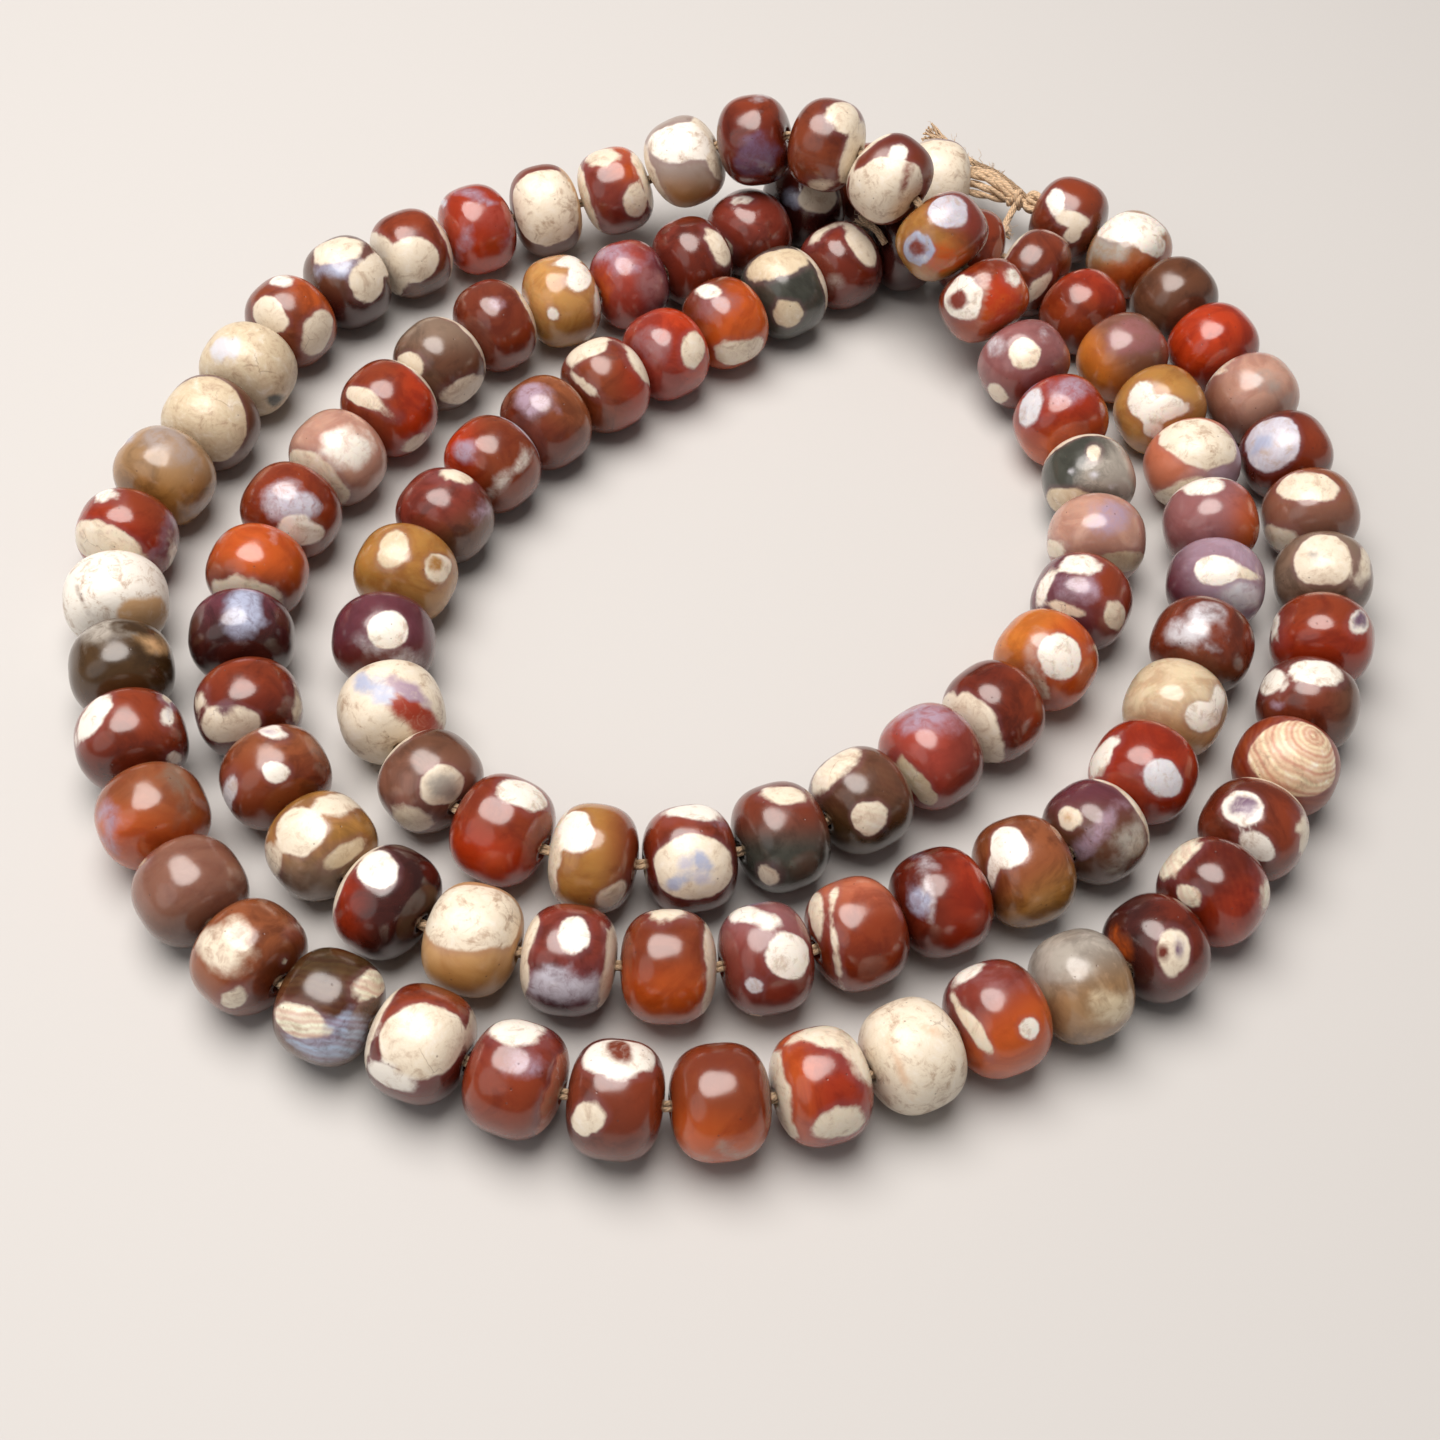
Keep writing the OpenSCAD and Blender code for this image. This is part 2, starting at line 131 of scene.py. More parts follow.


# One row for each bead along the string: family of stone, main colour, second colour, where
# the second colour lies in the photograph, how far it reaches, marks. A second colour brighter than
# the main one, such as orange, scarlet or amber, is partly the stone's own tone and partly painted
# glow of light coming through the stone. Directions and turns are in degrees, 0 to the right and 90
# up. Places and sizes are in percent of the bead's radius, shares and strengths in percent.
BEADS = [
    # The saddle haze on this bead is painted glow of light coming through the stone
    ("chestnut", "chestnut", "saddle", 200, 40, cream(40, 62, 42, 30, -25), cream(-10, -88, 24, 12),
     haze("saddle", -10, -30, 45, 35), rim(0, 5)),
    ("maroon", "maroon", "brick", 80, 20, haze("violet", 5, -42, 46, 38)),
    ("cream", "mist", "honey", 270, 25, white(0, 52, 95, 45), rim(180, 8), rim(0, 8)),
    ("red", "rosewood", "orange", 60, 30, cream(-40, 78, 40, 20, 15), cream(48, -20, 28, 38), rim(180, 10),
     rim(0, 4)),
    ("cream", "chestnut", "brown", 270, 30, cream(0, 12, 98, 96), rim(0, 10, "tan")),
    ("red", "red", "scarlet", 250, 40, haze("raspberry", 40, 30, 50, 30), haze("lilac", 35, 60, 30, 6, -30),
     haze("lilac", -45, -50, 30, 6, 60), haze("lilac", 75, -10, 35, 6, 70),
     patch("frost", -75, 60, 13, 12)),
    ("chestnut", "brick", "brown", 270, 30, cream(12, -15, 60, 52), rim(0, 10), rim(180, 12)),
    ("smoky", "umber", "darkmaroon", 270, 40, cream(-20, 75, 60, 25, 10), cream(40, 2, 40, 42),
     cream(68, 40, 28, 30), haze("blue", -10, 35, 40, 22)),
    ("chestnut", "saddle", "orange", 40, 25, cream(-50, 15, 40, 42), white(-20, 90, 20, 12),
     cream(62, -25, 55, 30, 66)),
    ("cream", "tan", "sand", 90, 50, patch("sand", 0, 0, 220, 220), spot("haze", -50, 42, 33, 24, 30),
     spot("slate", 50, -60, 14, 10), stripes(30, 6)),
    ("cream", "brown", "brown", 0, 10, patch("sand", -35, 5, 110, 115), stripes(60, 6)),
    ("smoky", "fawn", "ochre", 260, 45, haze("mist", -10, 80, 45, 22), haze("mist", 40, 40, 25, 20),
     haze("mist", 70, -60, 20, 15)),
    ("red", "red", "brick", 60, 35, cream(-50, -20, 85, 45, -30), cream(90, -30, 35, 10, 80),
     haze("lilac", 80, 0, 40, 7, 75), white(-40, 80, 20, 9, 15)),
    ("cream", "white", "white", 0, 10, white(0, 0, 220, 220), spot("tan", 52, -28, 52, 42, 30),
     spot("umber", -62, 5, 15, 4, -60)),
    ("smoky", "olive", "umber", 270, 20, haze("grey", -30, 74, 55, 13), haze("tan", 50, 55, 30, 14, -20)),
    ("maroon", "brick", "maroon", 270, 50, white(-72, 38, 50, 20, 60), white(60, 38, 14, 20, 10),
     spot("blue", 60, 40, 6, 10), white(70, -35, 10, 9)),
    ("amber", "russet", "orange", 265, 50, haze("lilac", -78, -10, 10, 30),
     haze("taupe", 45, 45, 50, 12, -70)),
    ("mauve", "dusk", "umber", 270, 25),
    ("chestnut", "russet", "saddle", 300, 40, haze("cream", -42, 25, 38, 42), cream(-20, -68, 22, 18),
     cream(62, -10, 6, 6)),
    ("smoky", "brown", "olive", 90, 30, cream(-55, -20, 48, 26, -25), haze("blue", 0, -62, 80, 35),
     cream(75, 38, 28, 25), stripes(80, 60)),
    ("maroon", "maroon", "brick", 90, 40, cream(6, 12, 76, 66), white(-55, -50, 42, 16, -20),
     cream(88, 30, 12, 40), rim(180, 3)),
    ("red", "brick", "rosewood", 90, 40, white(0, 84, 58, 20), haze("lilac", 15, 20, 30, 18),
     rim(0, 5, "salmon")),
    ("chestnut", "chestnut", "brick", 0, 30, white(8, 75, 62, 30), spot("chestnut", 5, 82, 16, 20),
     cream(-50, -30, 26, 26)),
    ("amber", "saddle", "orange", 265, 35, haze("chestnut", 20, 75, 70, 30),
     haze("grey", 40, -78, 35, 8, 15)),
    ("red", "red", "orange", 180, 40, cream(10, 90, 60, 16), cream(75, 40, 50, 18, -60),
     cream(35, -62, 50, 24, 20), rim(190, 5)),
    ("cream", "cream", "sand", 180, 20, cream(0, 0, 220, 220), spot("shell", -20, -10, 8, 40, 20),
     spot("shell", 35, 40, 25, 6, -20)),
    ("amber", "rosewood", "orange", 305, 50, cream(-50, 5, 60, 14, -58), white(55, -15, 17, 17),
     white(-50, 80, 30, 10, 35), haze("mauve", 0, 55, 40, 20)),
    ("smoky", "fawn", "grey", 110, 40, haze("grey", -40, 40, 42, 32), haze("sand", 60, -40, 35, 28)),
    # The orange haze on this bead is painted glow of light coming through the stone
    ("maroon", "darkmaroon", "maroon", 0, 50, haze("orange", -55, -10, 22, 38), cream(30, -10, 30, 42),
     spot("maroon", 8, -12, 17, 18), spot("violet", 36, -10, 6, 14)),
    ("red", "maroon", "red", 300, 40, cream(-62, 65, 50, 17, 45), cream(-38, -5, 26, 21, -20),
     cream(95, -5, 8, 30), stripes(15, 25)),
    ("chestnut", "chestnut", "brick", 0, 30, white(-22, 42, 38, 33), spot("violet", -25, 42, 25, 18),
     white(10, -30, 42, 26, -30), cream(95, -10, 8, 35), rim(90, 6)),
    ("cream", "brick", "brick", 200, 30, patch("shell", 20, 20, 92, 82, -20), rings(50, 55, 70)),
    ("chestnut", "chestnut", "umber", 0, 25, white(15, 66, 60, 24, -8), white(-68, 50, 32, 20, 50),
     spot("lilac", -55, -2, 10, 8)),
    ("red", "red", "brick", 90, 40, white(-88, 40, 10, 26), white(70, 42, 14, 22),
     spot("violet", 70, 44, 6, 10)),
    ("smoky", "taupe", "umber", 270, 30, cream(-5, 45, 62, 56), spot("grey", -17, 45, 12, 12),
     cream(86, 30, 13, 36)),
    ("mauve", "dusk", "russet", 90, 30, cream(-10, 60, 62, 32), cream(-65, -50, 42, 22, -30)),
    ("maroon", "maroon", "brick", 0, 30, patch("frost", -35, 30, 68, 56, 45),
     spot("blue", -60, 20, 30, 14, 50), stripes(-20, 8)),
    ("mauve", "rose", "dusk", 200, 30, cream(-72, 66, 34, 5, 48), haze("mist", 40, 30, 40, 20, -30)),
    ("red", "scarlet", "red", 320, 35),
    ("smoky", "umber", "brown", 90, 30),
    ("amber", "fawn", "orange", 290, 45, white(0, 66, 85, 30), white(55, 20, 42, 24, -20),
     haze("grey", -50, 15, 40, 35)),
    ("chestnut", "chestnut", "brick", 90, 30, white(-35, 42, 34, 20, 100), cream(10, 2, 45, 20, -20),
     cream(12, -30, 20, 20)),
    ("cream", "cream", "plum", 60, 15, cream(0, -10, 160, 140), spot("umber", 40, 10, 22, 4, 60)),
    ("chestnut", "chestnut", "brick", 90, 30),
    ("maroon", "darkmaroon", "maroon", 90, 30, cream(32, 15, 40, 38), haze("blue", -30, 15, 15, 12)),
    ("maroon", "rosewood", "maroon", 270, 40, white(-17, 77, 20, 10), spot("chestnut", -17, 77, 9, 5),
     cream(-74, -25, 40, 18, -60)),
    ("maroon", "maroon", "rosewood", 180, 30, cream(60, 35, 45, 19, -63)),
    # The orange haze on this bead is painted glow of light coming through the stone
    ("mauve", "raspberry", "plum", 0, 30, haze("lilac", -30, 70, 50, 25), haze("mauve", 50, -10, 35, 40),
     haze("orange", -62, 0, 15, 30)),
    ("amber", "honey", "ochre", 270, 30, white(42, 52, 26, 32), white(18, 85, 28, 13),
     white(-15, -30, 10, 10), white(82, 10, 12, 30)),
    ("red", "chestnut", "brick", 320, 35, haze("lilac", 0, 45, 16, 16), rim(60, 9)),
    ("smoky", "umber", "taupe", 90, 30, cream(-60, 0, 30, 28), cream(55, -55, 50, 28, 30), rim(40, 13)),
    ("red", "brick", "scarlet", 350, 40, cream(-50, 18, 52, 17, -30), cream(55, -70, 25, 13, 30),
     rim(50, 9)),
    ("mauve", "rose", "dusk", 240, 30, haze("white", 15, 20, 50, 45), cream(-48, -28, 66, 12, -45),
     rim(220, 12)),
    ("red", "brick", "saddle", 270, 30, haze("frost", 2, 5, 50, 42), white(15, -42, 52, 30)),
    # The orange haze on this bead is painted glow of light coming through the stone
    ("amber", "saddle", "orange", 70, 50, haze("orange", -10, 10, 35, 25), rim(270, 10)),
    ("maroon", "darkmaroon", "plum", 90, 30, haze("blue", 10, 45, 34, 38), haze("frost", 15, 50, 15, 12)),
    ("maroon", "maroon", "brick", 90, 30, cream(-35, -35, 60, 35, -10), spot("plum", -45, -5, 13, 14),
     cream(95, 0, 6, 30), cream(-95, 10, 6, 25)),
    ("chestnut", "saddle", "russet", 90, 30, white(5, 10, 20, 17), white(-5, 82, 22, 13),
     spot("lilac", -5, 82, 10, 5), patch("haze", -85, -40, 10, 25)),
    ("smoky", "ochre", "taupe", 270, 40, cream(-40, 30, 46, 46), cream(40, 80, 42, 15),
     patch("sand", 42, -12, 44, 20, 30), cream(-90, -25, 10, 30)),
    ("maroon", "darkmaroon", "red", 180, 25, white(-20, 55, 38, 33), rim(90, 6)),
    ("cream", "tan", "honey", 270, 35, cream(0, 50, 115, 62)),
    ("maroon", "rosewood", "plum", 270, 40, white(10, 45, 26, 34), haze("frost", 0, -50, 80, 30), rim(0, 6),
     rim(180, 6)),
    ("amber", "saddle", "orange", 270, 45, cream(0, 92, 42, 9), rim(0, 8)),
    ("mauve", "rosewood", "mauve", 90, 30, white(-35, 80, 45, 15), white(42, 8, 40, 38),
     patch("haze", -20, -45, 15, 13)),
    ("red", "brick", "salmon", 90, 20, cream(-75, 35, 15, 36), cream(-42, 0, 90, 7, 92)),
    ("red", "maroon", "red", 0, 40, haze("blue", -35, 5, 20, 22), haze("haze", -20, 35, 30, 8, 100)),
    ("chestnut", "russet", "ochre", 300, 30, white(-30, 48, 35, 36), white(-50, -2, 32, 11, 75)),
    ("mauve", "umber", "plum", 90, 30, cream(-45, 28, 22, 22), spot("tan", -45, 28, 5, 5),
     haze("lilac", 10, 2, 65, 13, 47), haze("grey", 62, -20, 50, 22, 60), rim(60, 18)),
    ("red", "red", "scarlet", 200, 30, white(-80, 30, 40, 13, 65), patch("haze", 42, -10, 36, 34)),
    ("amber", "sand", "tan", 270, 40, white(62, -12, 34, 30), white(80, 25, 13, 26)),
    ("chestnut", "chestnut", "brown", 270, 30, haze("haze", 0, 42, 50, 36, 20), haze("haze", 5, -2, 20, 15),
     spot("chestnut", 22, 28, 20, 26)),
    ("mauve", "lilac", "plum", 200, 30, white(0, 30, 46, 33), cream(62, 20, 35, 10, -15),
     haze("haze", 50, -20, 40, 30)),
    ("mauve", "mauve", "orange", 350, 25, white(-20, 82, 50, 16), rim(180, 10, "white")),
    ("cream", "salmon", "lilac", 330, 40, cream(15, 52, 95, 50, -15), cream(-20, -75, 65, 32)),
    ("amber", "honey", "ochre", 90, 30, white(-45, 25, 28, 40), white(28, 0, 42, 25),
     white(-10, -10, 32, 22), white(-10, -40, 20, 30)),
    ("mauve", "dusk", "amber", 215, 40, haze("mauve", 20, 50, 60, 40)),
    ("red", "brick", "red", 60, 30),
    ("chestnut", "chestnut", "brick", 0, 30, cream(15, -25, 42, 20, 50), rim(120, 8)),
    ("maroon", "maroon", "brick", 0, 30),
    ("maroon", "darkmaroon", "maroon", 0, 30),
    ("maroon", "maroon", "rosewood", 90, 30, cream(45, 50, 58, 22, -55), haze("mist", -10, -30, 20, 15),
     cream(-35, 82, 42, 6, 35)),
    ("smoky", "slate", "slate", 90, 30, patch("sand", -20, 68, 75, 32, 12), patch("sand", 5, -50, 36, 28),
     rim(30, 13)),
    ("amber", "orange", "saddle", 150, 35, haze("mauve", -20, 50, 45, 30), white(-40, 68, 30, 16),
     cream(35, -66, 60, 28, 15)),
    ("red", "raspberry", "scarlet", 30, 40, cream(60, 10, 28, 38), haze("mauve", -30, 30, 40, 40)),
    ("chestnut", "saddle", "red", 0, 30, cream(-40, 78, 50, 18, 30), cream(70, 50, 50, 13, -50),
     cream(-45, 5, 45, 13, -38)),
    ("chestnut", "chestnut", "russet", 60, 40, haze("lilac", -20, 50, 35, 30),
     haze("blue", -15, 55, 15, 12)),
    ("red", "saddle", "scarlet", 180, 30, haze("lilac", -60, 25, 20, 20), haze("white", 50, -10, 42, 5, 50),
     rim(20, 2, "frost")),
    ("chestnut", "rosewood", "umber", 300, 40, cream(25, 86, 36, 11, -12), haze("lilac", 78, 5, 7, 10)),
    ("amber", "ochre", "honey", 270, 30, patch("sand", -25, 50, 40, 28, 65), cream(66, 8, 24, 28),
     spot("ochre", 60, 12, 10, 10)),
    ("mauve", "plum", "maroon", 270, 40, white(12, 25, 38, 38), haze("haze", 45, -45, 38, 13, -20)),
    ("cream", "cream", "cream", 60, 30, cream(0, 0, 220, 220), spot("blue", -40, 50, 42, 16, -30),
     spot("lilac", 40, 33, 45, 16, -35), spot("red", 55, -15, 60, 28, -38)),
    ("smoky", "dusk", "umber", 90, 30, cream(25, -15, 44, 38, 20), spot("grey", 25, -12, 30, 25),
     cream(-30, -72, 50, 20, -28), rim(130, 2)),
    ("red", "brick", "scarlet", 250, 40, white(40, 70, 48, 26, -25)),
    ("amber", "ochre", "saddle", 0, 35, white(-38, 58, 36, 36), cream(35, -66, 38, 18, 40), rim(180, 12)),
    ("maroon", "maroon", "brick", 90, 30, white(5, 86, 70, 14), cream(5, -22, 78, 64),
     spot("blue", -12, -36, 24, 13, 30), spot("frost", 20, -35, 17, 13), spot("blue", 22, -2, 24, 16, -20),
     spot("frost", -8, -8, 18, 16)),
    ("smoky", "slate", "chestnut", 90, 45, cream(5, 80, 40, 15), cream(-20, -68, 22, 15)),
    ("smoky", "umber", "olive", 270, 40, cream(-50, 65, 60, 20, 40), cream(12, -33, 33, 33),
     stripes(70, 15)),
    ("mauve", "raspberry", "rosewood", 0, 30, haze("lilac", 0, 75, 60, 20),
     patch("sand", -25, -50, 60, 22, -50)),
    ("maroon", "maroon", "brick", 0, 30, rim(215, 22)),
    ("amber", "orange", "amber", 150, 40, white(30, 5, 42, 48), haze("rose", -10, 20, 30, 40),
     rim(300, -3)),
    ("mauve", "plum", "brick", 20, 40, white(-10, 75, 38, 20), cream(70, -30, 20, 30),
     white(-80, 20, 50, 14, 75), haze("lilac", -10, 30, 40, 20), cream(-40, -8, 42, 11, -22)),
    ("mauve", "rose", "rose", 60, 40, cream(-82, -15, 18, 20), patch("sand", 35, -50, 85, 24, 12),
     haze("lilac", 30, 50, 50, 30)),
    ("smoky", "slate", "grey", 0, 30, patch("sand", -30, -50, 62, 28, -10), cream(8, 60, 15, 17),
     haze("grey", 40, 10, 50, 40), spot("haze", 10, 10, 6, 6), spot("haze", 45, -15, 6, 5),
     spot("haze", -35, 20, 7, 5), spot("haze", 20, -80, 6, 5), rim(150, 16)),
    ("red", "red", "orange", 280, 40, patch("haze", -60, 28, 42, 24, 70), haze("lilac", 25, 65, 45, 28)),
    ("mauve", "mauve", "rosewood", 270, 35, cream(0, 20, 35, 33), cream(-55, -65, 26, 16, -40),
     haze("haze", 40, 60, 8, 10), haze("haze", -60, 50, 8, 8)),
    # The scarlet haze on this bead is painted glow of light coming through the stone
    ("red", "brick", "orange", 320, 50, white(-50, 5, 42, 55), spot("rosewood", -58, 5, 17, 21),
     white(65, 50, 25, 14, -60), haze("rose", -2, 30, 36, 14, 90), haze("scarlet", 45, 0, 40, 50)),
    # The orange haze on this bead is painted glow of light coming through the stone
    ("amber", "ochre", "rosewood", 40, 40, patch("frost", 20, 55, 42, 35), haze("orange", 10, -50, 55, 35),
     patch("blue", -55, -25, 32, 36), spot("rosewood", -50, -30, 14, 18)),
    ("cream", "saddle", "maroon", 90, 30, cream(-5, -35, 110, 80), spot("rosewood", 32, 5, 32, 8, 80),
     white(20, 55, 22, 18, 30), rim(150, 5)),
]


class Necklace:
    """The necklace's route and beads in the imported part's frame, in millimetres."""

    def __init__(self, sizes):
        self.bead_r = sizes.bead_d / MM / 2
        self.fullness = sizes.fullness
        self.bead_gap = sizes.bead_gap / MM
        self.meeting_radius = sizes.meeting_radius / MM
        self.end_r = sizes.end_d / MM / 2
        self.pitch = (sizes.bead_len + sizes.bead_gap) / MM
        steps = [self.drawn(p + 0.5) - self.drawn(p - 0.5) for p in range(PLACES)]
        length = sum(np.linalg.norm(s * (1, 1, 2 * self.bead_r)) for s in steps)
        self.spread = PLACES * self.pitch / length
        self.beads = [self.bead(i) for i in range(BEAD_COUNT)]
        ends = self.placed(LONG_END)
        middle = []
        for k in (0, 1):
            low = min([c[k] - reach for c, reach in self.reaches(k)] + [ends[:, k].min() - self.end_r])
            high = max([c[k] + reach for c, reach in self.reaches(k)] + [ends[:, k].max() + self.end_r])
            middle.append((low + high) / 2)
        self.middle = np.array([*middle, 0])

    def row(self, i):
        """A row of the route, which goes on round the closed string."""
        turn, k = divmod(i, len(ROUTE))
        return ROUTE[k] + (turn * PLACES, 0, 0, 0)

    def drawn(self, p):
        """Smooth curve through the route's rows, at a place along the string."""
        q = p % PLACES
        i = int(np.searchsorted(ROUTE[:, 0], q, side="right")) - 1
        a, b, before, after = self.row(i), self.row(i + 1), self.row(i - 1), self.row(i + 2)
        span = b[0] - a[0]
        u = (q - a[0]) / span
        lead = (b - before) * span / (b[0] - before[0])
        tail = (after - a) * span / (after[0] - a[0])
        v = ((2 * u**3 - 3 * u**2 + 1) * a + (u**3 - 2 * u**2 + u) * lead
             + (3 * u**2 - 2 * u**3) * b + (u**3 - u**2) * tail)
        return v[1:4]

    def string_at(self, p):
        """The string's middle line at a place, on the table."""
        x, y, rise = self.drawn(p)
        return np.array([x * self.spread, y * self.spread,
                         self.bead_r + max(rise, 0) * 2 * self.bead_r])

    def heading(self, p):
        """The string's direction at a place."""
        return unit(self.string_at(p + 0.5) - self.string_at(p - 0.5))

    def end_room(self, p, following):
        """What a bead leaves free towards the next place, more where the string bends."""
        room = self.bead_gap / 2
        if following % PLACES == BARE_PLACE:
            return room
        low = min(p, following)
        bend = math.acos(min(1, self.heading(low) @ self.heading(low + 1)))
        return room + self.meeting_radius * math.tan(bend / 2)

    def bead(self, i):
        """Centre, heading, radius and half length of a bead."""
        p = i if i < BARE_PLACE else i + 1
        radius = self.bead_r * SIZE_MIX[i % len(SIZE_MIX)]
        start, end = self.string_at(p - 0.5), self.string_at(p + 0.5)
        along = unit(end - start)
        start = start + along * self.end_room(p, p - 1)
        end = end - along * self.end_room(p, p + 1)
        centre = (start + end) / 2
        if self.string_at(p)[2] < self.bead_r + RESTING:
            centre[2] -= self.bead_r - radius
        return centre, along, radius, np.linalg.norm(end - start) / 2

    def reaches(self, k):
        """How far each bead reaches from its centre along an axis."""
        power = self.fullness / (self.fullness - 1)
        for centre, along, radius, half in self.beads:
            across = math.sqrt(max(0, 1 - along[k] ** 2))
            yield centre, ((radius * across) ** power + (half * abs(along[k])) ** power) ** (1 / power)

    def placed(self, points):
        """Points of a yarn end's route, spread as the string is."""
        return np.array([(x * self.spread, y * self.spread, z) for x, y, z in points])


# Loose ends of yarn: x, y and z in millimetres on the same drawing as the route
LONG_END = [(32.9, 92, 7.1), (29.2, 94.8, 7.3), (26.2, 97.2, 7.3), (23.2, 99.2, 7), (20, 102.2, 6)]
SHORT_END = [(32, 87.6, 5), (31.4, 85.6, 5), (31.3, 83.6, 5.4), (31.3, 82, 5.8)]
TUCKED_END = [(14.6, 73.2, 9.7), (13.5, 74.5, 10.4), (12.2, 76.1, 10.2), (11, 77.7, 9.3)]
# The long end as seen: low behind the bead, with two tips that come up past it
SEEN_LONG_END = [(29.8, 94.2, 6.4), (26.4, 97.2, 5.6), (23, 99.4, 6.3), (19.9, 101.2, 7.8)]
LONG_END_FORK = [(19.2, 99.2, 7.5)]

# Strands of the bare stretch, in millimetres to the back and up from the string: at the
# bead before the knot, at the knot and at the bead after it
FAN = [
    (2.5, 0.9, 0.5, 0.5, 0.9, 0.8), (1.2, 1.4, 0.1, 0.8, 0.2, 1.1), (0.1, 1.7, -0.4, 0.6, -0.4, 0.6),
    (-0.9, 1.0, -0.6, 0.1, -1.0, 0.1), (-1.5, 0.1, -0.3, -0.5, -0.4, -0.6), (0.4, 0.1, 0.3, -0.4, 0.5, -0.1)]


def unit(v):
    """A vector's direction."""
    return v / np.linalg.norm(v)


def axes_of(along):
    """Sideways, upward and lengthwise directions of something that lies along a heading."""
    side = unit(np.cross(along, (0, 0, 1)))
    return np.array([side, np.cross(along, side), along])


# Camera of the photograph, in the route's drawing
CAMERA_ELEVATION = 53.8
CAMERA_DISTANCE = 231.9
CAMERA_ROLL = 6.39
CAMERA_LENS = 50.75
CAMERA_SENSOR = 36


def camera_axes():
    """The photograph's right, up and viewing directions."""
    e, roll = math.radians(CAMERA_ELEVATION), math.radians(CAMERA_ROLL)
    look = np.array([0, math.cos(e), -math.sin(e)])
    level = np.array([1.0, 0, 0])
    up = np.cross(level, look)
    right = math.cos(roll) * level + math.sin(roll) * up
    return right, math.cos(roll) * up - math.sin(roll) * level, look


def camera_place(string):
    """Where the camera stands in the part's frame."""
    look = camera_axes()[2]
    return -CAMERA_DISTANCE * look * string.spread - string.middle


# The unit bead has this many faces round it and along its outside. The outside ends at a lip that
# is this much wider than the bore, and the bore begins this deep under it.
BEAD_SIDES = 60
BEAD_ROWS = 28
LIP_WIDTH = 1.12
LIP_DEPTH = 0.03


def run_along(points):
    """Length along a line up to each of its points."""
    return np.r_[0, np.cumsum(np.linalg.norm(np.diff(points, axis=0), axis=1))]


def bead_outline(fullness, bore):
    """Half section of a unit bead, closed through its bore."""
    a = np.linspace(0, math.pi / 2, 400)
    curve = np.c_[np.cos(a) ** (2 / fullness), np.sin(a) ** (2 / fullness)]
    curve = curve[curve[:, 0] >= bore * LIP_WIDTH]
    run = run_along(curve)
    at = np.linspace(0, run[-1], BEAD_ROWS // 2 + 1)
    r, z = np.interp(at, run, curve[:, 0]), np.interp(at, run, curve[:, 1])
    lip = z[-1]
    inner = [(bore, level) for level in (LIP_DEPTH - lip, -lip / 3, lip / 3, lip - LIP_DEPTH)]
    return np.r_[np.c_[r[::-1], z[::-1]], np.c_[r[1:], -z[1:]], inner]


def bead_mesh(fullness, bore):
    """Mesh of a unit bead, with a map that is unrolled round it."""
    outline = bead_outline(fullness, bore)
    turn = np.linspace(0, 2 * math.pi, BEAD_SIDES, endpoint=False)
    points = np.array([(r * math.cos(t), r * math.sin(t), z) for t in turn for r, z in outline])
    n = len(outline)
    faces, maps = [], []
    length = run_along(np.r_[outline, outline[:1]])
    length /= length[-1]
    for i in range(BEAD_SIDES):
        j = (i + 1) % BEAD_SIDES
        for k in range(n):
            m = (k + 1) % n
            faces.append((i * n + k, i * n + m, j * n + m, j * n + k))
            u0, u1, v0, v1 = i / BEAD_SIDES, (i + 1) / BEAD_SIDES, length[k], length[k + 1]
            maps += [(u0, v0), (u0, v1), (u1, v1), (u1, v0)]
    mesh = bpy.data.meshes.new("bead_form")
    mesh.from_pydata(points.tolist(), [], faces)
    layer = mesh.uv_layers.new(name="OFBake")
    layer.uv.foreach_set("vector", np.array(maps, np.float32).ravel())
    return mesh


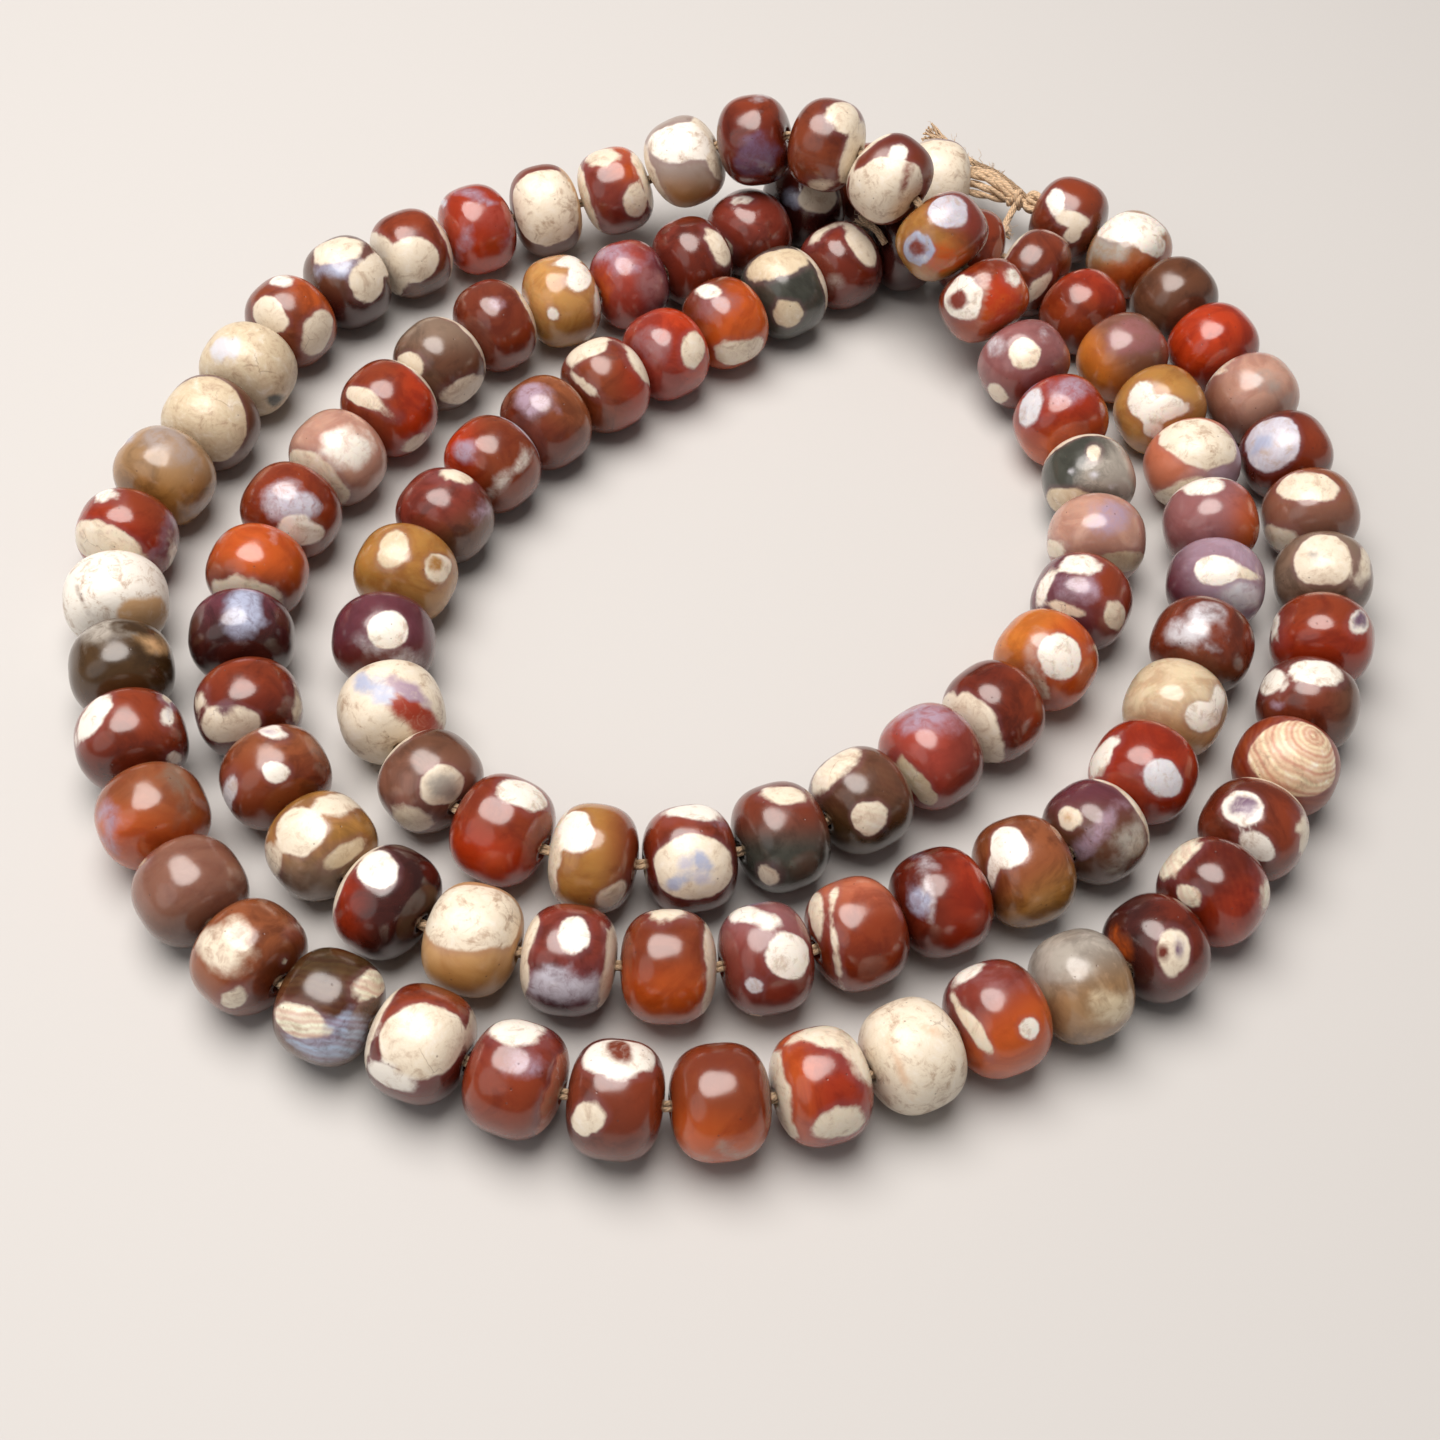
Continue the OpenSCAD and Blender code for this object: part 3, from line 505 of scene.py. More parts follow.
class Nodes:
    """Adds nodes to a tree. An input takes a value, a colour or another node's output."""

    def __init__(self, tree):
        self.tree = tree

    def feed(self, target, value):
        """Links an output to an input, or sets the input."""
        if isinstance(value, bpy.types.NodeSocket):
            self.tree.links.new(value, target)
        elif target.type == "RGBA":
            target.default_value = (*value[:3], 1)
        else:
            target.default_value = value

    def fill(self, node, inputs):
        for key, value in inputs.items():
            self.feed(node.inputs[key], value)
        return node

    def add(self, kind, inputs=(), **settings):
        """A node with its settings, and its inputs by name or number."""
        node = self.tree.nodes.new(kind)
        for key, value in settings.items():
            setattr(node, key, value)
        return self.fill(node, dict(inputs))

    def math(self, what, *values):
        return self.add("ShaderNodeMath", enumerate(values), operation=what).outputs[0]

    def times(self, a, b):
        return self.math("MULTIPLY", a, b)

    def times_plus(self, a, b, c):
        return self.math("MULTIPLY_ADD", a, b, c)

    def noise(self, vector, scale, detail=3, rough=0.5, distort=0):
        return self.add("ShaderNodeTexNoise", {
            "Vector": vector, "Scale": scale, "Detail": detail, "Roughness": rough,
            "Distortion": distort}).outputs["Fac"]

    def mix(self, factor, a, b, blend="MIX"):
        node = self.add("ShaderNodeMix", data_type="RGBA", blend_type=blend)
        ends = {end.identifier: end for end in (*node.inputs, *node.outputs)}
        for key, value in (("Factor_Float", factor), ("A_Color", a), ("B_Color", b)):
            self.feed(ends[key], value)
        return ends["Result_Color"]

    def step(self, value, low, high, to_low=0.0, to_high=1.0):
        """A smooth step between two values."""
        return self.add("ShaderNodeMapRange", {
            "Value": value, "From Min": low, "From Max": high, "To Min": to_low, "To Max": to_high},
            interpolation_type="SMOOTHSTEP").outputs["Result"]

    def attribute(self, name, out="Color"):
        """What a material reads from a mesh."""
        return self.add("ShaderNodeAttribute", attribute_name=name).outputs[out]

    def named(self, name, kind):
        """What a Geometry Nodes tree reads from its geometry."""
        node = self.add("GeometryNodeInputNamedAttribute", {"Name": name}, data_type=kind)
        return node.outputs["Attribute"]

    def bump(self, height, strength):
        return self.add("ShaderNodeBump", {
            "Height": height, "Strength": strength, "Distance": BUMP_DEPTH}).outputs["Normal"]

    def group(self, tree, **inputs):
        """A shared node group with its inputs connected."""
        return self.add("ShaderNodeGroup", inputs, node_tree=tree).outputs


def new_group(name, kind, inputs, outputs):
    """A node group with named sockets: its nodes, what it is given and where its results go."""
    tree = bpy.data.node_groups.new(name, kind + "NodeTree")
    for way, sockets in (("INPUT", inputs), ("OUTPUT", outputs)):
        for label, what in sockets:
            tree.interface.new_socket(label, in_out=way, socket_type="NodeSocket" + what)
    nodes = Nodes(tree)
    return nodes, nodes.add("NodeGroupInput").outputs, nodes.add("NodeGroupOutput").inputs


def add_object(name, data):
    """A new object in the scene."""
    made = bpy.data.objects.new(name, data)
    bpy.context.scene.collection.objects.link(made)
    return made


def baked(obj, tree, name, **inputs):
    """A plain mesh object of what a Geometry Nodes tree makes of an object."""
    modifier = obj.modifiers.new(tree.name, "NODES")
    modifier.node_group = tree
    sockets = {item.name: item.identifier for item in tree.interface.items_tree
               if item.item_type == "SOCKET" and item.in_out == "INPUT"}
    for key, value in inputs.items():
        modifier[sockets[key]] = value
    graph = bpy.context.evaluated_depsgraph_get()
    mesh = bpy.data.meshes.new_from_object(obj.evaluated_get(graph), depsgraph=graph)
    mesh.name = name
    done = add_object(name, mesh)
    bpy.data.objects.remove(obj, do_unlink=True)
    return done


def finished(nodes, geometry, material, result):
    """Ends a Geometry Nodes tree: real geometry, smooth and with its material."""
    for kind, inputs in (("GeometryNodeRealizeInstances", {}), ("GeometryNodeSetShadeSmooth", {}),
                         ("GeometryNodeSetMaterial", {"Material": material})):
        geometry = nodes.add(kind, {"Geometry": geometry, **inputs}).outputs["Geometry"]
    nodes.feed(result["Geometry"], geometry)
    return nodes.tree


def strung_tree():
    """Geometry Nodes that set one bead form on every point of a string."""
    nodes, given, result = new_group(
        "Strung beads", "Geometry", [("Geometry", "Geometry"), ("Bead", "Object"), ("Stone", "Material")],
        [("Geometry", "Geometry")])
    form = nodes.add("GeometryNodeObjectInfo", {"Object": given["Bead"]})
    turn = nodes.add("FunctionNodeEulerToRotation", {"Euler": nodes.named("turn", "FLOAT_VECTOR")})
    beads = nodes.add("GeometryNodeInstanceOnPoints", {
        "Points": given["Geometry"], "Instance": form.outputs["Geometry"],
        "Rotation": turn.outputs["Rotation"], "Scale": nodes.named("size", "FLOAT_VECTOR")})
    return finished(nodes, beads.outputs["Instances"], given["Stone"], result)


def along_curve(nodes, curve, name):
    """A curve that keeps its Length or Factor, and that value for later nodes."""
    keep = nodes.add("GeometryNodeCaptureAttribute")
    keep.capture_items.new("FLOAT", name)
    place = nodes.add("GeometryNodeSplineParameter").outputs[name]
    nodes.fill(keep, {"Geometry": curve, name: place})
    return keep.outputs["Geometry"], keep.outputs[name]


@cache
def strands_tree():
    """Geometry Nodes that make a round strand of yarn along every curve."""
    nodes, given, result = new_group(
        "Strands", "Geometry",
        [("Geometry", "Geometry"), ("Radius", "Float"), ("Sides", "Int"), ("Yarn", "Material")],
        [("Geometry", "Geometry")])
    circle = nodes.add("GeometryNodeCurvePrimitiveCircle", {
        "Resolution": given["Sides"], "Radius": given["Radius"]})
    curve, length = along_curve(nodes, given["Geometry"], "Length")
    profile, share = along_curve(nodes, circle.outputs["Curve"], "Factor")
    swept = nodes.add("GeometryNodeCurveToMesh", {
        "Curve": curve, "Profile Curve": profile, "Fill Caps": True,
        "Scale": nodes.named("radius", "FLOAT")})
    ply = nodes.add("ShaderNodeCombineXYZ", {"X": share, "Y": nodes.times(length, 1 / MM)})
    stored = nodes.add("GeometryNodeStoreNamedAttribute", {
        "Name": "ply", "Geometry": swept.outputs["Mesh"], "Value": ply.outputs["Vector"]},
        data_type="FLOAT_VECTOR", domain="CORNER")
    return finished(nodes, stored.outputs["Geometry"], given["Yarn"], result)


def add_attribute(mesh, name, kind, values):
    made = mesh.attributes.new(name, kind, "POINT")
    key = {"FLOAT": "value", "FLOAT_VECTOR": "vector", "FLOAT_COLOR": "color"}[kind]
    made.data.foreach_set(key, np.ascontiguousarray(values, np.float32).ravel())


def read(layer, key, width=3):
    """Numbers of a mesh layer, one row for each point or corner."""
    numbers = np.empty(len(layer) * width, np.float32)
    layer.foreach_get(key, numbers)
    return numbers.reshape(-1, width)


# How the marks are laid on a bead: the share of its radius that the bore takes, how much a point has to
# face the camera, the widest angle at which a mark narrows, the place of a band round an end, how far
# two colours blend, and a distance for no mark
BORE_SHARE = 0.22
FACING = 0.05
STEEPEST = 1.25
BAND_START, BAND_LEAN = 0.81, 0.22
BLEND_WIDTH = 0.8
FAR = 9.0
# How far apart, in millimetres, the beads lie in the grain of the stone
GRAIN_SPREAD = 40
# Share of a bead's radius that is worn off, in this many waves of about this pace, and the margin
# round each bead's cell of the map
WEAR = 0.02
DENTS = 5
DENT_PACE = 0.28
CELL_MARGIN = 0.03
PAINT_SEED, WEAR_SEED = 1000, 500


class SeenBead:
    """The points of one bead as the photograph shows them."""

    def __init__(self, string, i, points, normals):
        centre, self.along, self.radius, self.half = string.beads[i]
        right, up, _ = camera_axes()
        away = points - (centre - string.middle)
        self.sight = unit(centre - string.middle - camera_place(string))
        self.side = unit(right - (right @ self.sight) * self.sight)
        self.rise = np.cross(self.side, self.sight)
        self.rise *= np.sign(self.rise @ up)
        self.away = away
        self.local = away @ axes_of(self.along).T
        self.x, self.y = away @ self.side / self.radius, away @ self.rise / self.radius
        outside = np.hypot(self.local[:, 0], self.local[:, 1]) > BORE_SHARE * self.radius
        self.front = (normals @ -self.sight > FACING) & outside
        # Rolled out flat round the point that faces the camera, so that marks keep their form
        # on the sides: distance from that point as an angle, and the direction kept
        out = away / np.linalg.norm(away, axis=1)[:, None]
        off = np.arccos(np.clip(out @ -self.sight, -1, 1))
        flat = np.maximum(np.hypot(self.x, self.y), 1e-6)
        self.u, self.v = off * self.x / flat, off * self.y / flat

    def way(self, towards):
        """A direction of the photograph in space."""
        t = math.radians(towards)
        return math.cos(t) * self.side + math.sin(t) * self.rise

    def nearest(self, x, y):
        """The point that the photograph shows at x, y."""
        return int((np.hypot(self.x - x, self.y - y) + np.where(self.front, 0, FAR)).argmin())

    def ellipse(self, x, y, wide, high, turn):
        """Signed distance in millimetres from the edge of an ellipse seen at x, y."""
        k = self.nearest(x, y)
        return self.field(self.u[k], self.v[k], wide, high, turn)

    def field(self, u0, v0, wide, high, turn):
        """The same for an ellipse at a place of the rolled out bead."""
        off = max(math.hypot(u0, v0), 1e-6)
        outward = np.array([u0, v0]) / off
        seen = min(off, STEEPEST)
        du, dv = self.u - u0, self.v - v0
        far = du * outward[0] + dv * outward[1]
        across = dv * outward[0] - du * outward[1]
        # Back to sizes as seen, which shrink towards the outline
        far = far * math.cos(seen)
        across = across * math.sin(seen) / seen
        dx = far * outward[0] - across * outward[1]
        dy = far * outward[1] + across * outward[0]
        t = math.radians(turn)
        one = (dx * math.cos(t) + dy * math.sin(t)) / wide
        two = (dy * math.cos(t) - dx * math.sin(t)) / high
        return (np.hypot(one, two) - 1) * min(wide, high) * self.radius

    def end_band(self, towards, width):
        """Signed distance from the edge of a band round one end, which leans with the view."""
        end = 1 if self.way(towards) @ self.along > 0 else -1
        lean = end * (self.along @ -self.sight)
        return (BAND_START - width + BAND_LEAN * lean) * self.half - end * self.local[:, 2]


def hidden_marks(seen, rng):
    """Marks for the side that the photograph doesn't show."""
    for _ in range(rng.integers(2, 5)):
        off, round_it = rng.uniform(1.75, 2.9), rng.uniform(0, 2 * math.pi)
        wide = rng.uniform(0.15, 0.45)
        kind = rng.choice(["patch", "patch", "haze"])
        tone = rng.choice(["cream", "white", "sand"] if kind == "patch" else ["haze", "lilac", "blue"])
        field = seen.field(off * math.cos(round_it), off * math.sin(round_it), wide * 0.5,
                           wide * rng.uniform(0.3, 0.5), rng.uniform(0, 180))
        yield kind, tone, field


def paint_beads(mesh, string, chosen, per_bead):
    """Writes each bead's stone colours and marks onto its points."""
    co, no = read(mesh.vertices, "co") / MM, read(mesh.vertex_normals, "vector")
    total = len(co)
    body = np.ones((total, 4))
    layers = {kind: (np.ones((total, 4)), np.full(total, FAR)) for kind in ("patch", "spot", "haze")}
    grain, banding = np.zeros((total, 3)), np.zeros((total, 3))
    for k, i in enumerate(chosen):
        here = slice(k * per_bead, (k + 1) * per_bead)
        seen = SeenBead(string, i, co[here], no[here])
        rng = np.random.default_rng(PAINT_SEED + i)
        grain[here] = seen.local + rng.uniform(-GRAIN_SPREAD, GRAIN_SPREAD, 3)
        _, first, second_tone_and_glow, towards, share, *marks = BEADS[i]
        # A second colour brighter than the main one is partly the stone's own tone and partly painted glow
        # of light coming through the stone
        lean = seen.away @ seen.way(towards) / seen.radius
        blend = np.clip((lean - (1 - 2 * (share / 100))) / BLEND_WIDTH + 0.5, 0, 1)
        blend = blend * blend * (3 - 2 * blend)
        body[here, :3] = linear(first) + (linear(second_tone_and_glow) - linear(first)) * blend[:, None]
        fields = list(hidden_marks(seen, rng))
        for kind, *given in marks:
            if kind == "rim":
                fields.append(("patch", given[0], seen.end_band(*given[1:])))
            elif kind == "stripes":
                banding[here, 0] = seen.away @ seen.way(given[0])
                banding[here, 1] = given[1]
            elif kind == "rings":
                m = seen.nearest(given[0], given[1])
                banding[here, 0] = np.linalg.norm(seen.away - seen.away[m], axis=1)
                banding[here, 1] = given[2]
            else:
                fields.append((kind, given[0], seen.ellipse(*given[1:])))
        for kind, tone, field in fields:
            colours, edge = layers[kind]
            closer = field < edge[here]
            colours[here][closer, :3] = linear(tone)
            edge[here] = np.minimum(edge[here], field)
    add_attribute(mesh, "stone", "FLOAT_COLOR", body)
    add_attribute(mesh, "grain", "FLOAT_VECTOR", grain)
    add_attribute(mesh, "banding", "FLOAT_VECTOR", banding)
    for kind, (colours, edge) in layers.items():
        add_attribute(mesh, kind, "FLOAT_COLOR", colours)
        add_attribute(mesh, kind + "_edge", "FLOAT", edge)


def wear_beads(mesh, string, chosen, per_bead):
    """Presses each bead in a little, unevenly, as hand-ground stones are."""
    co = read(mesh.vertices, "co")
    for k, i in enumerate(chosen):
        centre, along, radius, _ = string.beads[i]
        centre = (centre - string.middle) * MM
        here = slice(k * per_bead, (k + 1) * per_bead)
        rng = np.random.default_rng(WEAR_SEED + i)
        away = co[here] - centre
        local = away @ axes_of(along).T / MM
        dent = np.zeros(len(local))
        for _ in range(DENTS):
            wave = rng.normal(size=3) * DENT_PACE
            dent += np.sin(local @ wave + rng.uniform(0, 6.28)) / DENTS
        radial = away - np.outer(away @ along, along)
        weight = np.clip(np.linalg.norm(radial, axis=1) / (radius * MM) * 1.6 - 0.5, 0, 1)
        press = 1 - WEAR * weight * (dent + 0.8)
        co[here] = centre + away * press[:, None]
    mesh.vertices.foreach_set("co", co.ravel())
    mesh.update()


def tile_map(mesh, count):
    """Lays each bead's map in a cell of its own."""
    layer = mesh.uv_layers["OFBake"]
    uv = read(layer.uv, "vector", 2)
    columns = math.ceil(math.sqrt(count))
    rows = math.ceil(count / columns)
    per = len(uv) // count
    for k in range(count):
        here = slice(k * per, (k + 1) * per)
        cell = uv[here] * (1 - 2 * CELL_MARGIN) + CELL_MARGIN + (k % columns, k // columns)
        uv[here] = cell / (columns, rows)
    layer.uv.foreach_set("vector", uv.ravel())


@cache
def ragged_edge_group():
    """Turns a distance from a mark's edge into a mask with a natural, uneven edge."""
    nodes, given, result = new_group(
        "Ragged edge", "Shader",
        [("Vector", "Vector"), ("Distance", "Float"), ("Raggedness", "Float"), ("Softness", "Float")],
        [("Mask", "Float"), ("Halo", "Float")])
    place, soft = given["Vector"], given["Softness"]
    coarse = nodes.math("SUBTRACT", nodes.noise(place, 0.3, 2, 0.4, 0.4), 0.5)
    fine = nodes.math("SUBTRACT", nodes.noise(place, 1.6, 3, 0.6), 0.5)
    wander = nodes.math("ADD", nodes.times(coarse, 5.0), nodes.times(fine, 0.9))
    moved = nodes.times_plus(wander, given["Raggedness"], given["Distance"])
    nodes.feed(result["Mask"], nodes.step(moved, nodes.times(soft, -1.0), soft, 1.0, 0.0))
    nodes.feed(result["Halo"], nodes.step(moved, 0.0, HALO_WIDTH, 1.0, 0.0))
    return nodes.tree


@cache
def clouding_group():
    """Clouds and paler wisps inside a translucent stone."""
    nodes, given, result = new_group(
        "Stone clouding", "Shader",
        [("Vector", "Vector"), ("Color", "Color"), ("Deep", "Color"), ("Amount", "Float")],
        [("Color", "Color")])
    place, stone, amount = given["Vector"], given["Color"], given["Amount"]
    cloud = nodes.noise(place, 0.2, 4, 0.6, 1.0)
    wisp = nodes.noise(place, 0.9, 3, 0.65, 0.5)
    shadow = nodes.mix(1.0, stone, given["Deep"], "MULTIPLY")
    deeper = nodes.mix(nodes.times(nodes.step(cloud, 0.4, 0.65), amount), stone, shadow)
    lighter = nodes.mix(1.0, stone, WISP_GAIN, "MULTIPLY")
    light = nodes.times(nodes.step(wisp, 0.5, 0.8), nodes.times(amount, 0.5))
    nodes.feed(result["Color"], nodes.mix(light, deeper, lighter))
    return nodes.tree


@cache
def chalk_group():
    """Mottling, stains and a few cracks of a chalky patch."""
    nodes, given, result = new_group(
        "Chalk", "Shader",
        [("Vector", "Vector"), ("Color", "Color"), ("Stain", "Color"), ("Stained", "Float")],
        [("Color", "Color"), ("Relief", "Float")])
    place = given["Vector"]
    mottle = nodes.noise(place, 0.55, 5, 0.72, 0.5)
    pale = nodes.times(nodes.step(mottle, 0.25, 0.5, 1.0, 0.0), 0.5)
    bright = nodes.mix(pale, given["Color"], CHALK_WHITE)
    dirt = nodes.times(nodes.step(mottle, 0.48, 0.7), given["Stained"])
    stained = nodes.mix(dirt, bright, given["Stain"])
    pushed = nodes.add("ShaderNodeVectorMath", {0: place, 1: nodes.noise(place, 1.1, 3, 0.6)},
                       operation="ADD")
    cells = nodes.add("ShaderNodeTexVoronoi", {"Vector": pushed.outputs[0], "Scale": 0.24},
                      feature="DISTANCE_TO_EDGE")
    few = nodes.step(nodes.noise(place, 0.17, 1), 0.6, 0.68)
    crack = nodes.times(nodes.step(cells.outputs["Distance"], 0.0, 0.02, 1.0, 0.0), few)
    nodes.feed(result["Color"], nodes.mix(nodes.times(crack, 0.4), stained, CRACK_COLOUR))
    nodes.feed(result["Relief"], nodes.times(nodes.noise(place, 2.2, 3, 0.7), 1.2))
    return nodes.tree


@cache
def pits_group():
    """Sparse small pits of a weathered surface."""
    nodes, given, result = new_group(
        "Pits", "Shader", [("Vector", "Vector"), ("Scale", "Float")], [("Mask", "Float")])
    cells = nodes.add("ShaderNodeTexVoronoi", {"Vector": given["Vector"], "Scale": given["Scale"]}).outputs
    pick = nodes.add("ShaderNodeSeparateColor", {"Color": cells["Color"]})
    rare = nodes.math("GREATER_THAN", pick.outputs["Red"], 0.72)
    dot = nodes.step(cells["Distance"], 0.05, 0.13, 1.0, 0.0)
    nodes.feed(result["Mask"], nodes.times(rare, dot))
    return nodes.tree


def new_material(name):
    """A material, its nodes and its shader."""
    made = bpy.data.materials.new(name)
    made.use_nodes = True
    return made, Nodes(made.node_tree), made.node_tree.nodes["Principled BSDF"]


# Family of stone: deep colour of its clouds, strength of the clouds, roughness, depth of light
FAMILIES = {
    "chestnut": ((0.3, 0.2, 0.18), 0.6, 0.2, 0),
    "red": ((0.45, 0.2, 0.15), 0.55, 0.17, 0.22),
    "maroon": ((0.25, 0.18, 0.18), 0.6, 0.18, 0),
    "amber": ((0.55, 0.35, 0.25), 0.5, 0.18, 0.35),
    "cream": ((0.75, 0.6, 0.45), 0.45, 0.36, 0),
    "smoky": ((0.35, 0.32, 0.3), 0.6, 0.22, 0),
    "mauve": ((0.6, 0.45, 0.45), 0.5, 0.2, 0.2),
}
# Kind of mark, raggedness and softness of its edge
EDGES = (("haze", 0.8, 0.9), ("patch", 0.3, 0.2), ("spot", 0.5, 0.45))

# Linear colours and depths that all stones share
WISP_GAIN = (1.4, 1.35, 1.35)
CHALK_WHITE = (0.86, 0.82, 0.78)
STAIN_COLOUR = (0.4, 0.27, 0.18)
CRACK_COLOUR = (0.16, 0.08, 0.05)
HALO_COLOUR = (0.22, 0.1, 0.12)
PIT_COLOUR = (0.06, 0.02, 0.015)
HALO_WIDTH = 0.75
BUMP_DEPTH = 0.0001
AGATE_IOR = 1.54
FULL_TURN = 6.2832


def stone_material(family):
    """Polished stone with clouds, hazes, some of which are painted glow, chalky patches, spots, bands and
    pits, in that order.
    """
    deep, clouds, rough, depth = FAMILIES[family]
    made, nodes, shader = new_material(family + "_agate")
    place = nodes.attribute("grain", "Vector")
    haze_edge, patch_edge, spot_edge = (
        nodes.group(ragged_edge_group(), Vector=place, Raggedness=ragged, Softness=soft,
                    Distance=nodes.attribute(kind + "_edge", "Fac")) for kind, ragged, soft in EDGES)
    body = nodes.group(clouding_group(), Vector=place, Color=nodes.attribute("stone"), Deep=deep,
                       Amount=clouds)
    chalk = nodes.group(chalk_group(), Vector=place, Color=nodes.attribute("patch"),
                        Stain=STAIN_COLOUR, Stained=0.85 if family == "cream" else 0.6)
    pits = nodes.group(pits_group(), Vector=place, Scale=0.9)["Mask"]
    smoke = nodes.noise(place, 0.8, 3, 0.65, 0.6)
    # The haze layer also carries the painted glow of light through the stone that some beads have
    hazy = nodes.times(haze_edge["Mask"], nodes.step(smoke, 0.25, 0.6, 0.45, 1.0))
    colour = nodes.mix(hazy, body["Color"], nodes.attribute("haze"))
    colour = nodes.mix(nodes.times(patch_edge["Halo"], 0.3), colour, HALO_COLOUR)
    colour = nodes.mix(patch_edge["Mask"], colour, chalk["Color"])
    over = nodes.times(spot_edge["Mask"], nodes.step(smoke, 0.2, 0.55, 0.65, 1.0))
    colour = nodes.mix(over, colour, nodes.attribute("spot"))
    colour = nodes.mix(1.0, colour, banding(nodes, place), "MULTIPLY")
    colour = nodes.mix(nodes.times(pits, 0.5), colour, PIT_COLOUR)
    worn = nodes.noise(place, 1.6, 3, 0.6)
    dull = nodes.times_plus(patch_edge["Mask"], 0.16, rough)
    inner = nodes.step(nodes.attribute("patch_edge", "Fac"), -0.5, 0.1, 1.0, 0.0)
    dents = nodes.math("ADD", pits, nodes.times(chalk["Relief"], inner))
    height = nodes.math("SUBTRACT", nodes.times(worn, 0.25), dents)
    nodes.fill(shader, {
        "Base Color": colour, "Normal": nodes.bump(height, 0.35),
        "Roughness": nodes.times_plus(nodes.math("SUBTRACT", worn, 0.5), 0.2, dull),
        "Subsurface Weight": depth, "Subsurface Radius": (1.0, 0.35, 0.2), "Subsurface Scale": 0.0015,
        "Coat Weight": 0.4, "Coat Roughness": 0.2, "IOR": AGATE_IOR})
    return made


def banding(nodes, place):
    """A multiplier for a stone's bands, reddish where it darkens."""
    band = nodes.add("ShaderNodeSeparateXYZ", {0: nodes.attribute("banding", "Vector")}).outputs
    wavy = nodes.times_plus(nodes.noise(place, 0.25), 1.6, band["X"])
    narrow, wide = (nodes.math("SINE", nodes.times(wavy, pace)) for pace in (9.5, 3.3))
    waves = nodes.times(nodes.math("ADD", narrow, wide), band["Y"])
    shade = nodes.times_plus(waves, 0.28, 1.0)
    red = nodes.times_plus(shade, 0.45, 0.55)
    return nodes.add("ShaderNodeCombineColor", {"Red": red, "Green": shade, "Blue": shade}).outputs["Color"]


def yarn_material(colour):
    """Matte cotton with fibres that wind round each ply, painted darker in the grooves and lighter on the
    ridges of their winding.
    """
    made, nodes, shader = new_material("cotton_yarn")
    ply = nodes.add("ShaderNodeSeparateXYZ", {0: nodes.attribute("ply", "Vector")}).outputs
    lean = nodes.times_plus(ply["Y"], 1.6, nodes.times(ply["X"], 4.0))
    twist = nodes.math("SINE", nodes.times(lean, FULL_TURN))
    fuzz = nodes.noise(nodes.add("ShaderNodeTexCoord").outputs["Object"], 5200, 4, 0.7)
    # Painted shade and light: the fibres' winding is darker in its grooves and lighter on its ridges, and
    # the fuzz gives the cotton its own uneven tone
    shade = nodes.step(nodes.times_plus(fuzz, 1.2, nodes.times(twist, 0.25)), 0.1, 1.0)
    dark, light = tuple(c * 0.5 for c in colour), tuple(min(1, c * 1.25) for c in colour)
    nodes.fill(shader, {
        "Base Color": nodes.mix(shade, dark, light), "Roughness": 0.9, "Sheen Weight": 0.25,
        "Normal": nodes.bump(nodes.times_plus(twist, 0.5, fuzz), 0.4)})
    return made


def strands(name, paths, radius, sides, yarn):
    """A mesh of round strands along paths in millimetres. A path is a list of (point, thickness)."""
    curve = bpy.data.curves.new(name, "CURVE")
    curve.dimensions = "3D"
    for path in paths:
        spline = curve.splines.new("POLY")
        spline.points.add(len(path) - 1)
        for p, (at, thick) in zip(spline.points, path):
            p.co = (*(np.array(at) * MM), 1)
            p.radius = thick
    return baked(add_object(name, curve), strands_tree(), name, Radius=radius * MM, Sides=sides, Yarn=yarn)


def even(lines):
    """Paths of even thickness."""
    return [[(p, 1) for p in line] for line in lines]


def smooth_path(points, count):
    """Points evenly along a smooth curve through the given ones."""
    p = np.array(points, float)
    p = np.r_[[2 * p[0] - p[1]], p, [2 * p[-1] - p[-2]]]
    out = []
    for t in np.linspace(0, len(p) - 3, count):
        i = min(int(t), len(p) - 4)
        u = t - i
        a, b, c, d = p[i:i + 4]
        out.append(0.5 * (2 * b + (c - a) * u + (2 * a - 5 * b + 4 * c - d) * u**2
                          + (3 * b - a - 3 * c + d) * u**3))
    return np.array(out)


def twisted(path, plies, reach, pitch, phase=0.0, flare=None):
    """Lines of plies twisted round a path. Reach is their distance from it, flare widens it along."""
    path = np.array(path)
    way = np.gradient(path, axis=0)
    run = run_along(path)
    out = []
    for k in range(plies):
        line = []
        for i, (at, w) in enumerate(zip(path, way)):
            side, rise, _ = axes_of(unit(w + (1e-9, 0, 0)))
            t = 2 * math.pi * (run[i] / pitch + k / plies) + phase
            far = reach * (1 if flare is None else flare[i])
            line.append(at + far * (math.cos(t) * side + math.sin(t) * rise))
        out.append(line)
    return out


